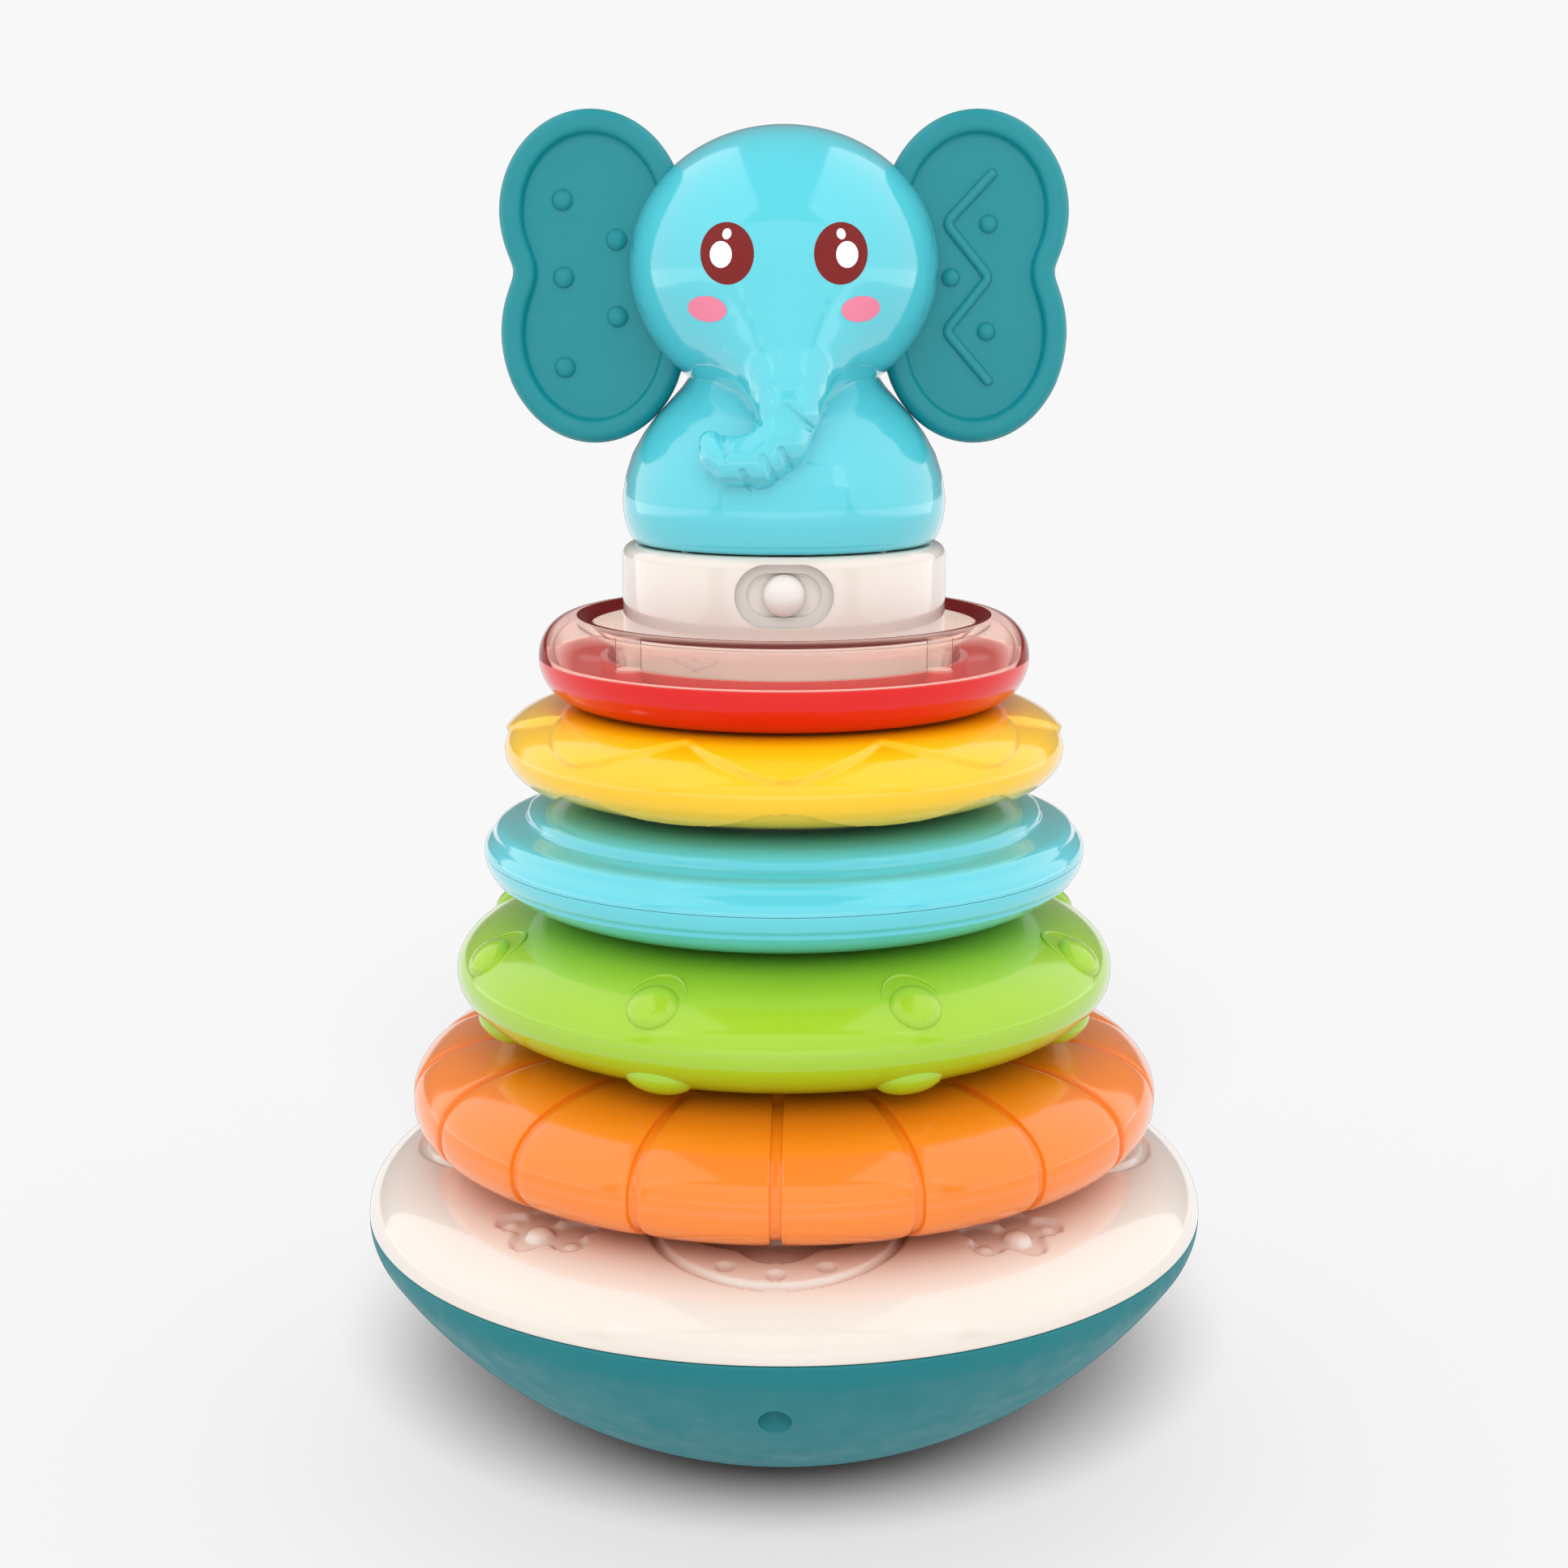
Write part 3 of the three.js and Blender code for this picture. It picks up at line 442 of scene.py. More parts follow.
# -------- base
BASE_R = reach("base_bowl")
FOOT = low_of("base_bowl")
SPHERE_R, SPHERE_Z, FOOT_R = 99.5, 50.2, 9.0
RIM_FILLET, RIM_MEET = 10.5, 55.7
BASE_WALL = 2.4
COVER_TOP = high_of("base_cover")
COVER_FLAT_R, COVER_HOLE_R, COVER_POWER = 60.0, 31.0, 2.3
DISC_R, DISC_AT, DISC_GROOVE = 22.9, 50.8, 1.4
RELIEF = 0.95
FLOWER_AT = 68.3
SCREW_AT, SCREW_HOLE_R = 75.8, 3.0


def bowl_curve(inset, start):
    ball = arc(0, SPHERE_Z, SPHERE_R - inset, SPHERE_R - inset, start - 90, RIM_MEET - 90, 60)
    rim = arc(BASE_R - RIM_FILLET, 0, RIM_FILLET - inset, RIM_FILLET - inset, RIM_MEET - 90, 0, 12)
    return np.concatenate([ball, rim[1:]])


def screw_boss(x, y):
    """A round boss that stands on the bowl and starts inside its wall."""
    points, faces = column(SCREW_HOLE_R + 1.6, -10, -4, x, y)
    foot = points[: len(points) // 2]
    foot[:, 2] = SPHERE_Z - np.sqrt((SPHERE_R - 1.2) ** 2 - foot[:, 0] ** 2 - foot[:, 1] ** 2)
    return points, faces


def make_bowl():
    foot_angle = math.degrees(math.asin(FOOT_R / SPHERE_R))
    outside = np.concatenate([[[ON_AXIS, FOOT]], bowl_curve(0, foot_angle)])
    outside[-1, 1] = -0.5
    edge = [[BASE_R - 0.25, -HAIRLINE], [BASE_R - BASE_WALL, -HAIRLINE]]
    inside = bowl_curve(BASE_WALL, 0.1)[::-1]
    profile = np.concatenate([outside, edge, inside[1:]])
    bowl = Mesh().add(revolve(profile, full_turn(192))).build("bowl", [TEAL])
    spots = [(SCREW_AT * math.cos(a), SCREW_AT * math.sin(a)) for a in TURN + np.arange(4) * math.pi / 2]
    cut(bowl, *[screw_boss(x, y) for x, y in spots], operation="UNION")
    cut(bowl, *[column(SCREW_HOLE_R, -40, -6, x, y) for x, y in spots])
    stand_in(bowl, "base", "teal", "base_bowl")


def turned_from_front(radius, turn, x, y):
    """Coordinates of points in the frame of a place on the cover: sideways, and outwards."""
    angle = TURN + math.radians(turn)
    out = np.array([math.cos(angle), math.sin(angle)])
    u = -x * out[1] + y * out[0]
    v = x * out[0] + y * out[1] - radius
    return u, v


def blob(u, v, circles, blend=1.1):
    """Distance outside a union of circles whose joints are rounded."""
    total = 0
    for cu, cv, radius in circles:
        total = total + np.exp(-(np.hypot(u - cu, v - cv) - radius) / blend)
    return -blend * np.log(np.maximum(total, 1e-12))


# Flowers as circles: sideways, outwards and radius. A pebble's last value is its height.
SMALL_FLOWER = [
    (0, 0, 4.2), (0, 3.8, 2.2), (7.7, -0.3, 2.8), (-7.7, -0.3, 2.8), (4.5, -6.2, 3.0), (-4.5, -6.2, 3.0),
]
SMALL_PEBBLES = [(0, 0, 2.7, 1.7), (7.8, -0.4, 1.3, 0.5), (-7.8, -0.4, 1.3, 0.5)]
BIG_PEBBLE = (0, 0, 5.5, 1.8)
BIG_FLOWER = [(0, 0, 6.5)] + [(9.6 * math.sin(a), 9.6 * math.cos(a), 5.7) for a in turns(5)]
SMALL_DOTS = [(-9.0, 16.7), (0, 19.5), (9.0, 16.7)]


def dome(u, v, cu, cv, radius, height):
    inside = np.clip(1 - ((u - cu) ** 2 + (v - cv) ** 2) / radius**2, 0, 1)
    return height * np.sqrt(inside)


def cover_relief(angle, r, z):
    x, y = r * np.cos(angle), r * np.sin(angle)
    lift = np.zeros_like(angle)
    for turn in (0, 90, 180, 270):
        u, v = turned_from_front(DISC_AT, turn, x, y)
        away = np.hypot(u, v) - DISC_R
        lift -= 0.9 * (1 - smooth_step(DISC_GROOVE / 2 - 0.25, DISC_GROOVE / 2 + 0.35, np.abs(away)))
        lift -= RELIEF * (1 - smooth_step(-0.3, 0.3, blob(u, v, BIG_FLOWER, 2.0)))
        lift += dome(u, v, *BIG_PEBBLE)
        for cu, cv in SMALL_DOTS:
            lift -= 0.7 * (1 - smooth_step(1.1, 1.7, np.hypot(u - cu, v - cv)))
    for turn in (40, 140, 220, 320):
        u, v = turned_from_front(FLOWER_AT, turn, x, y)
        lift -= RELIEF * (1 - smooth_step(-0.3, 0.3, blob(u, v, SMALL_FLOWER)))
        for pebble in SMALL_PEBBLES:
            lift += dome(u, v, *pebble)
    on_top = (z > 1) & (r > COVER_HOLE_R + 1)
    return np.where(on_top, lift, 0)


def make_cover():
    out = BASE_R - COVER_FLAT_R
    rim = arc(COVER_FLAT_R, 0, out, COVER_TOP, 0, 90, 400, COVER_POWER)
    rim = rim[rim[:, 1] > 0.45]
    foot = [[BASE_R - BASE_WALL, HAIRLINE], [BASE_R - 0.5, HAIRLINE], [BASE_R - 0.12, 0.2]]
    outside = even(np.concatenate([rim, [[COVER_HOLE_R + 0.6, COVER_TOP]]]), 0.42)
    hole = [[COVER_HOLE_R, COVER_TOP - 0.6], [COVER_HOLE_R, COVER_TOP - BASE_WALL]]
    inside = arc(COVER_FLAT_R, 0, out - BASE_WALL, COVER_TOP - BASE_WALL, 0, 90, 10, COVER_POWER)
    profile = np.concatenate([foot, outside, hole, inside[::-1][1:-1]])
    shown = np.arange(len(profile))[:, None] < len(foot) + len(outside)
    cover = Mesh().add(revolve(profile, full_turn(840), lambda a, r, z: cover_relief(a, r, z) * shown))
    stand_in(cover.build("cover", [CREAM], 50), "base", "cream", "base_cover")


def make_post():
    top, foot = high_of("post"), low_of("post")
    profile = np.concatenate([
        [[40, foot], [40, COVER_TOP - 3], [30.4, COVER_TOP - 2.4], [21.5, top - 3]],
        arc(21.5 - 2.5, top - 2.5, 2.5, 2.5, 0, 90, 8),
        [[ON_AXIS, top], [ON_AXIS, top - WALL], [18.5, top - WALL], [28.4, foot]],
    ])
    post = Mesh().add(revolve(profile, full_turn(128))).build("post_skin", [CREAM])
    stand_in(post, "base", "cream", "post")


# -------- rings
# The radius of the crown and of the hole, how square the section is, the finish and its slot.
RINGS = {
    "orange": (44.0, 35.0, 2.4, ORANGE, "orange"),
    "green": (40.0, 32.5, 2.05, GREEN, "green"),
    "blue": (38.0, 30.5, 2.0, BLUE, "blue_ring"),
    "yellow": (38.0, 28.5, 2.05, YELLOW, "yellow"),
}


def measures(ring):
    lower, upper = ring + "_ring_lower", ring + "_ring_upper"
    crown, hole, power, _, _ = RINGS[ring]
    middle = (high_of(lower) + low_of(upper)) / 2
    return reach(lower), crown, hole, low_of(lower), middle, high_of(upper), power


def half_section(ring, upper, inset, step):
    """One shell's path round its section, from its one edge to its other."""
    outer, crown, hole, low, middle, high, power = measures(ring)
    out, back = outer - crown - inset, crown - hole - inset
    tall = (high - middle if upper else middle - low) - inset
    first, second = (0, 90) if upper else (-90, 180)
    front = arc(crown, middle, out, tall, first, first + 90, 200, power)
    behind = arc(crown, middle, back, tall, second, second + 90, 100, 4)
    path = even(np.concatenate([front, behind[1:]] if upper else [behind, front[1:]]), step)
    gap = HAIRLINE if ring == "blue" else TIGHT
    edge = middle + (gap if upper else -gap)
    path[:, 1] = np.maximum(path[:, 1], edge) if upper else np.minimum(path[:, 1], edge)
    return path


def section_angle(ring, r, z):
    """Angle round the section: 0 at the widest line, 90 degrees on the crown."""
    outer, crown, hole, low, middle, high, power = measures(ring)
    height = np.where(z > middle, high - middle, middle - low)
    across = np.clip((r - crown) / (outer - crown), 0, 1) ** (power / 2)
    along = np.clip(np.abs(z - middle) / height, 0, 1) ** (power / 2)
    return np.degrees(np.arctan2(np.sign(z - middle) * along, across))


def shell(ring, upper, angles, relief, step, outside=None):
    """A closed shell of a ring: its outside with relief, and a coarser inside."""
    outside = half_section(ring, upper, 0, step) if outside is None else outside
    inside = half_section(ring, upper, WALL, 4)[::-1]
    profile = np.concatenate([outside, inside])
    rows = np.arange(len(profile))[:, None] < len(outside)
    if callable(angles):
        angles = angles(profile[:, :1])
    lifted = (lambda a, r, z: np.where(rows, relief(a, r, z), 0)) if relief else None
    return revolve(profile, angles, lifted, lips=(0, len(outside) - 1))


def add_ring(ring, upper, *surfaces):
    half = "upper" if upper else "lower"
    material, slot = RINGS[ring][3:]
    mesh = Mesh()
    for surface in surfaces:
        mesh.add(surface)
    obj = mesh.build(f"{ring}_{half}_shell", [material], 50)
    stand_in(obj, ring + "_ring", slot, f"{ring}_ring_{half}")


GROOVES = 18
SECTOR = math.pi / GROOVES  # half the angle between two grooves
GROOVE_HALF, GROOVE_DEPTH = 0.95, 1.0
GROOVE_STOPS = [0, 0.5, 0.85, 1.0, 1.1, 1.25, 1.45, 1.8, 2.4, 3.2]  # columns beside a groove's middle
GROOVE_R = 38  # inside this radius the grooves narrow with the radius


def orange_angles(r):
    """Columns that crowd round each groove, whose width is the same all along."""
    side = np.array(GROOVE_STOPS) / np.maximum(r, GROOVE_R)
    rest = np.linspace(0, 1, 7)[1:-1]
    side = np.concatenate([side, side[:, -1:] + (SECTOR - side[:, -1:]) * rest], 1)
    local = np.concatenate([-side[:, ::-1][:, :-1], side], 1)
    local = np.c_[np.full(len(local), -SECTOR), local]
    return np.concatenate([TURN + k * 2 * SECTOR + local for k in range(GROOVES)], 1)


def orange_relief(angle, r, z):
    local = (angle - TURN + SECTOR) % (2 * SECTOR) - SECTOR
    away = np.abs(local) * np.maximum(r, GROOVE_R)
    groove = -GROOVE_DEPTH * (1 - smooth_step(GROOVE_HALF - 0.2, GROOVE_HALF + 0.3, away))
    shoulder = -0.25 * np.exp(-np.maximum(away - GROOVE_HALF, 0) / 0.9)
    turn = section_angle("orange", r, z)
    reach_in = smooth_step(46, 50, r) * smooth_step(-80, -66, turn)
    return np.minimum(groove, shoulder) * reach_in


def patch_frame(ring, turn, phi):
    """A point of a ring's outside, with its directions round the ring, up the section and outwards."""
    outer, crown, hole, low, middle, high, power = measures(ring)
    height = high - middle if phi > 0 else middle - low

    def section(angle):
        c, s = math.cos(math.radians(angle)), math.sin(math.radians(angle))
        return np.array([
            crown + (outer - crown) * abs(c) ** (2 / power),
            middle + height * math.copysign(abs(s) ** (2 / power), s),
        ])

    r, z = section(phi)
    up = section(phi + 0.5) - section(phi - 0.5)
    up /= np.linalg.norm(up)
    angle = math.radians(-90 + turn)
    out = np.array([math.cos(angle), math.sin(angle), 0])
    side = np.array([-math.sin(angle), math.cos(angle), 0])
    rise = out * up[0] + np.array([0, 0, up[1]])
    normal = np.cross(side, rise)
    return out * r + np.array([0, 0, z]), side, rise, normal


# A bump's angle up the section, how deep its middle lies in the ring, and its half sizes.
GREEN_UPPER_BUMP = (33, 0.5, (5.0, 4.7, 2.5))
GREEN_LOWER_BUMP = (-41, 1.2, (6.8, 5.0, 3.1))


def green_bumps(upper):
    """The eight bumps of a shell, each under a thin arc on the upper one."""
    surfaces = []
    for k in range(8):
        turn = 22.5 + 45 * k
        up, sunk, sizes = GREEN_UPPER_BUMP if upper else GREEN_LOWER_BUMP
        centre, side, rise, normal = patch_frame("green", turn, up)
        surfaces.append(ellipsoid(centre - normal * sunk, (side, rise, normal), sizes))
        if upper:
            surfaces.append(green_arc(turn))
    return surfaces


def green_arc(turn):
    steps = np.radians(np.linspace(8, 172, 30))
    ridge = []
    for step in steps:
        swing = 5.3 * math.cos(step) / 57
        lift = 38 + 19 * math.sin(step)
        point, _, _, out = patch_frame("green", turn + math.degrees(swing), lift)
        ridge.append(point + out * 0.05)
    return tube(ridge, 0.42 * np.sin(steps) ** 0.6, 8)


LOBES = 8
ICING = 0.95
ICING_SUNK = 0.3  # how far the bare part of the ring lies inside its widest line
ICING_LOW, ICING_RISE = 18, 45  # degrees round the section: the foot of a lobe, and up to its cusps
LOBE_ROUND = 0.28  # how round the foot of each lobe is


def cusped(angle):
    """0 in the middle of each lobe and 1 at the cusps between lobes."""
    half = math.pi / LOBES
    local = (angle - math.radians(-90) + half) % (2 * half) - half
    return np.abs(local) / half


def icing_relief(angle, r, z):
    """A raised top whose edge hangs down in round lobes."""
    turn = section_angle("yellow", r, z)
    share = cusped(angle)
    bend = np.hypot(share, LOBE_ROUND)
    span = math.hypot(1, LOBE_ROUND) - LOBE_ROUND
    edge = ICING_LOW + ICING_RISE * (bend - LOBE_ROUND) / span
    slope = ICING_RISE / span * share / bend / (180 / LOBES)
    per_degree = math.radians(1) * 15
    away = (turn - edge) * per_degree / np.sqrt(1 + (slope * per_degree / (r * math.radians(1))) ** 2)
    past_crown = np.where(r < 40, smooth_step(34, 38, r), 1)
    thick = ICING * (1 - 0.65 * smooth_step(55, 85, turn))
    return thick * smooth_step(-0.4, 0.4, away) * past_crown - ICING_SUNK


def scallop_relief(angle, r, z):
    """A recess under the ring whose edge rises in lobes."""
    turn = section_angle("yellow", r, z)
    lobe = ((1 + np.cos(LOBES * (angle + math.pi / 2))) / 2) ** 1.8
    edge = -46 + 26 * lobe
    away = (edge - turn) * math.radians(1) * 14
    return -0.8 * smooth_step(-0.1, 0.6, away) - ICING_SUNK


# Radius and height of the steps on the upper shell, and of the groove round the lower one.
BLUE_STEPS = [
    [59.25, 74.2], [58.9, 75.2], [58.2, 76.0], [57.5, 76.5], [57.2, 77.0], [57.0, 77.7], [56.5, 78.2],
    [55.6, 78.6], [54.0, 78.9], [52.4, 79.2], [51.3, 79.5], [50.9, 79.9], [50.8, 80.6], [50.5, 81.3],
    [49.9, 81.8],
]
BLUE_GROOVE = [[57.4, 68.6], [57.6, 69.1], [57.5, 69.5], [57.7, 69.75], [58.2, 69.9], [58.6, 70.4]]


def blue_outside(upper):
    path = half_section("blue", upper, 0, 0.5)
    if upper:
        outer, _, _, _, middle, _, _ = measures("blue")
        start = [[outer, middle + HAIRLINE]]
        return np.concatenate([start, even(BLUE_STEPS, 0.35), path[path[:, 0] < 48]])
    keep = path[(path[:, 0] < 50) | (path[:, 1] < 68.4) | (path[:, 1] > 70.7)]
    at = int(np.argmax((keep[:, 1] > 70.6) & (keep[:, 0] > 50)))
    return np.concatenate([keep[:at], even(BLUE_GROOVE, 0.3), keep[at:]])


def make_rings():
    for upper in (False, True):
        add_ring("orange", upper, shell("orange", upper, orange_angles, orange_relief, 0.8))
        add_ring("green", upper, shell("green", upper, full_turn(256), None, 0.8), *green_bumps(upper))
        add_ring("blue", upper, shell("blue", upper, full_turn(256), None, 0.8, blue_outside(upper)))
        relief = icing_relief if upper else scallop_relief
        add_ring("yellow", upper, shell("yellow", upper, full_turn(720), relief, 0.45))


RED_CROWN, RED_HOLE, RED_LEDGE, RED_MOUTH, RED_THROAT = 39.5, 26.0, 105.3, 38.6, 32.6
RED_BOSS_AT = 40.6


def heart_path(radius, x, z, width, height):
    """The outline of a plain heart bent round the Z axis, on the front."""
    t = np.linspace(0.15, 2 * math.pi - 0.15, 48)
    across = np.sin(t) ** 3 / 2
    up = (13 * np.cos(t) - 5 * np.cos(2 * t) - 2 * np.cos(3 * t) - np.cos(4 * t)) / 29
    at = x + across * width
    return np.stack([at, -np.sqrt(radius**2 - at**2), z + up * height], 1)


def red_columns(radius, low, high):
    """Upright columns at the red ring's four screws."""
    angles = math.pi / 4 + np.arange(4) * math.pi / 2
    return [column(radius, low, high, RED_BOSS_AT * math.cos(a), RED_BOSS_AT * math.sin(a)) for a in angles]


def make_red():
    outer, low, high = reach("red_ring_lower"), low_of("red_ring_lower"), high_of("red_ring_upper")
    seam = high_of("red_ring_lower") + 0.15
    out = outer - RED_CROWN
    under = arc(RED_CROWN, seam, out, seam - low, -90, 0, 40)
    under[:, 1] = np.minimum(under[:, 1], seam - HAIRLINE)
    inner = arc(RED_CROWN, seam, out - WALL, seam - low - WALL, 0, -90, 12)
    inner[:, 1] = np.minimum(inner[:, 1], seam - HAIRLINE)
    profile = np.concatenate([
        under,
        inner,
        [[RED_THROAT + 3.4, low + WALL], [RED_THROAT + 3.4, seam - 0.1], [RED_THROAT + WALL, seam - 0.1]],
        [[RED_THROAT + WALL, RED_LEDGE], [RED_HOLE, RED_LEDGE], [RED_HOLE, low + 0.8], [RED_HOLE + 0.8, low]],
    ])
    lower = Mesh().add(revolve(profile, full_turn(192)))
    for boss in red_columns(2.6, low + 1, seam + 0.8):
        lower.add(boss)
    stand_in(lower.build("red_lower_shell", [RED], 40), "red_ring", "red", "red_ring_lower")
    top = arc(RED_CROWN + 1, seam, out - 1, high - seam, 0, 90, 30)
    top[:, 1] = np.maximum(top[:, 1], seam + HAIRLINE)
    below = arc(RED_CROWN + 1, seam, out - 2.8, high - seam - 1.8, 90, 0, 16)
    below[:, 1] = np.maximum(below[:, 1], seam + HAIRLINE)
    funnel = rounded([
        [RED_CROWN, high], [RED_MOUTH, high - 0.7], [RED_MOUTH - 2.4, high - 3.6],
        [RED_THROAT + 0.8, seam + 3], [RED_THROAT, seam], [RED_THROAT, RED_LEDGE + 0.3],
    ], 2)
    back = rounded([
        [RED_THROAT + 1.6, RED_LEDGE + 0.3], [RED_THROAT + 1.6, seam + 0.3], [RED_THROAT + 2.4, seam + 2.6],
        [RED_MOUTH, high - 3.2], [RED_CROWN + 1, high - 1.8],
    ], 2)
    profile = np.concatenate([top, funnel[1:], back[:-1], below])
    row = np.arange(len(profile))
    # Rows on the mouth's crest take the lip's dark red painted shade, and the rest of the funnel and its back
    # the throat's stronger painted glow.
    shaded_lip = (row >= len(top) - 1) & (row < len(top) + len(funnel) - 2) & (profile[:, 1] > high - 1.6)
    throat = (row >= len(top) - 1) & (row < len(top) + len(funnel) + len(back) - 3)
    clear = Mesh().add(revolve(profile, full_turn(192)), np.repeat(np.where(shaded_lip, 1, 2 * throat), 192))
    for pin in red_columns(2.4, seam + 1.2, high - 1):
        clear.add(pin)
    clear.add(tube(heart_path(34.9, -16.3, 114.2, 8.0, 2.8), 0.24, 8))
    clear = clear.build("red_clear_shell", [CLEAR, CLEAR_LIP_SHADE, CLEAR_THROAT], 40)
    stand_in(clear, "red_ring", "clear", "red_ring_upper")


# -------- sound unit
SWITCH_Z = (low_of("switch_knob") + high_of("switch_knob")) / 2
SWITCH_FLAT = -28.7
KNOB_R = 3.9
POCKET_R = 5.95  # the round ends of the pocket, 3.2 mm either side of the middle


def make_collar():
    radius, low, high = reach("collar"), low_of("collar"), high_of("collar")
    profile = np.concatenate([
        arc(radius - 0.5, low + 0.5, 0.5, 0.5, -90, 0, 4),
        even([[radius, low + 1], [radius, high - 2.6]], 2),
        arc(radius - 2.4, high - 2.4, 2.4, 2.4, 0, 90, 12),
        [[9, high], [9, high - WALL], [radius - WALL, high - WALL], [radius - WALL, low]],
    ])
    collar = Mesh().add(revolve(profile, full_turn(256))).build("collar_skin", [CREAM, POCKET_SHADE])
    cut(collar, slab(stadium(20.5, 14.1, SWITCH_Z), -29.6, SWITCH_FLAT + 2.2), operation="UNION")
    cut(collar, slab(stadium(18.2, 11.8, SWITCH_Z), -36, SWITCH_FLAT))
    cut(collar, slab(stadium(14.0, 8.2, SWITCH_Z), -36, -20))
    # Faces of the pocket's floor and walls take the darker painted shade.
    for polygon in collar.data.polygons:
        x, y, z = polygon.center / MM
        from_core = math.hypot(max(abs(x) - 3.2, 0), z - SEAM / MM - SWITCH_Z)
        if from_core < POCKET_R and -31.5 < y < SWITCH_FLAT + 0.1:
            polygon.material_index = 1
    stand_in(collar, "elephant", "cream", "collar")


def make_knob():
    front = SWITCH_FLAT - 0.7
    profile = np.concatenate([
        [[ON_AXIS, 2.0], [KNOB_R, 2.0], [KNOB_R, 0.1]],
        arc(0, 0, KNOB_R, 1.9, 0, 90, 14)[1:-1],
        [[ON_AXIS, 1.9]],
    ])
    profile[3:, 1] *= -1
    points, faces = revolve(profile[::-1], turns(48), closed=False)
    points = np.stack([points[:, 0], front + points[:, 2], SWITCH_Z + points[:, 1]], 1)
    knob = Mesh().add((points, [f[::-1] for f in faces]))
    knob.add(slab(stadium(16.8, 9.6, SWITCH_Z), SWITCH_FLAT + 1.8, SWITCH_FLAT + 2.9))
    stand_in(knob.build("knob", [KNOB], 40), "switch", "knob", "switch_knob")


# -------- elephant
BODY_LOW = low_of("elephant_front")
NECK_CREASE = 1.7  # how far from the crease under the head the mesh is finer
HEAD_Z, HEAD_R, HEAD_UP, HEAD_DOWN = 186.0, 29.4, high_of("elephant_front") - 186.0, 26.8
BODY_TALL = 36
BODY_PATH = [  # radius, and height above the body's foot
    [28.4, 0], [29.2, 0.35], [29.9, 1.4], [30.6, 3.4], [31.1, 5.8], [31.2, 8.5], [30.6, 12.6],
    [29.2, 16.8], [27.0, 20.7], [24.4, 24.2], [21.5, 27.3], [19.4, 29.6], [18.2, 31.4],
]
TRUNK = [  # x, y, z and radius
    (0, -15, 178, 11.0), (0.3, -19.5, 171, 10.4), (0.7, -24.3, 165, 7.8), (0.9, -28, 160, 5.6),
    (-0.6, -29.5, 154.6, 5.0), (-4.6, -30.3, 151.2, 4.7), (-9.2, -30.0, 151.0, 4.2),
    (-12.0, -29.2, 152.2, 3.2), (-13.4, -28.4, 154.4, 2.0),
]
TRUNK_BOX = ((-18, -60, 144), (12, -22, 172))  # where the mesh is finer
WRINKLE_DEPTH = 0.45
WRINKLES = [  # the two ends in X and Z, and half the width
    ((-7.4, 149.3), (-6.2, 146.4), 0.55), ((-3.8, 152.0), (-1.8, 147.9), 0.6),
    ((-0.5, 153.2), (0.9, 150.3), 0.55), ((0.3, 160.9), (4.8, 157.0), 0.45),
    ((-11.8, 156.0), (-10.2, 152.1), 0.4), ((-6.3, 160.5), (-4.4, 157.9), 0.4),
]


def smooth_min(a, b, k):
    h = np.clip(0.5 + 0.5 * (b - a) / k, 0, 1)
    return b + (a - b) * h - k * h * (1 - h)


def head_distance(p):
    """Distance outside the head, an ellipsoid."""
    q = p - [0, 0, HEAD_Z]
    wide, tall = np.full(len(p), HEAD_R), np.where(q[:, 2] > 0, HEAD_UP, HEAD_DOWN)
    sizes = np.stack([wide, wide, tall], 1)
    k0 = np.linalg.norm(q / sizes, axis=1)
    k1 = np.linalg.norm(q / sizes**2, axis=1)
    return k0 * (k0 - 1) / np.maximum(k1, 1e-9)


def beside(u, v, start, end):
    """Distance of the points (u, v) from the line between two points."""
    du, dv = end[0] - start[0], end[1] - start[1]
    t = np.clip(((u - start[0]) * du + (v - start[1]) * dv) / (du**2 + dv**2), 0, 1)
    return np.hypot(u - start[0] - t * du, v - start[1] - t * dv)


def body_distance(p):
    """Distance outside the bell-shaped body."""
    path = even(np.array(BODY_PATH) + [0, BODY_LOW], 0.8)
    path = np.concatenate([[[0, BODY_LOW]], path, [[14, BODY_LOW + BODY_TALL]]])
    rho, z = np.hypot(p[:, 0], p[:, 1]), p[:, 2]
    nearest = np.full(len(p), 1e9)
    for start, end in zip(path[:-1], path[1:]):
        nearest = np.minimum(nearest, beside(rho, z, start, end))
    widest = np.interp(z, path[1:, 1], path[1:, 0])
    inside = (z > BODY_LOW) & (z < BODY_LOW + BODY_TALL) & (rho < widest)
    return np.where(inside, -nearest, nearest)


def trunk_distance(p):
    """Distance outside a chain of round cones."""
    total = np.full(len(p), 1e9)
    for a, b in zip(TRUNK[:-1], TRUNK[1:]):
        start, end = np.array(a[:3]), np.array(b[:3])
        t = np.clip(((p - start) @ (end - start)) / ((end - start) @ (end - start)), 0, 1)
        away = np.linalg.norm(p - start - t[:, None] * (end - start), axis=1) - (a[3] + t * (b[3] - a[3]))
        total = smooth_min(total, away, 1.6)
    return total


def wrinkle_depth(p):
    depth = np.zeros(len(p))
    for start, end, half in WRINKLES:
        away = beside(p[:, 0], p[:, 2], start, end)
        depth = np.maximum(depth, WRINKLE_DEPTH * (1 - smooth_step(half * 0.5, half + 0.35, away)))
    return depth * (1 - smooth_step(-30.5, -27, p[:, 1]))


def elephant_distance(p):
    face = smooth_min(head_distance(p), trunk_distance(p), 8.0)
    return smooth_min(face, body_distance(p), 0.7) + wrinkle_depth(p)


def downhill(p):
    """Direction away from the surface at each point."""
    steps = np.eye(3) * 0.05
    gradient = np.stack([elephant_distance(p + step) - elephant_distance(p - step) for step in steps], 1)
    return gradient / np.maximum(np.linalg.norm(gradient, axis=1), 1e-9)[:, None]


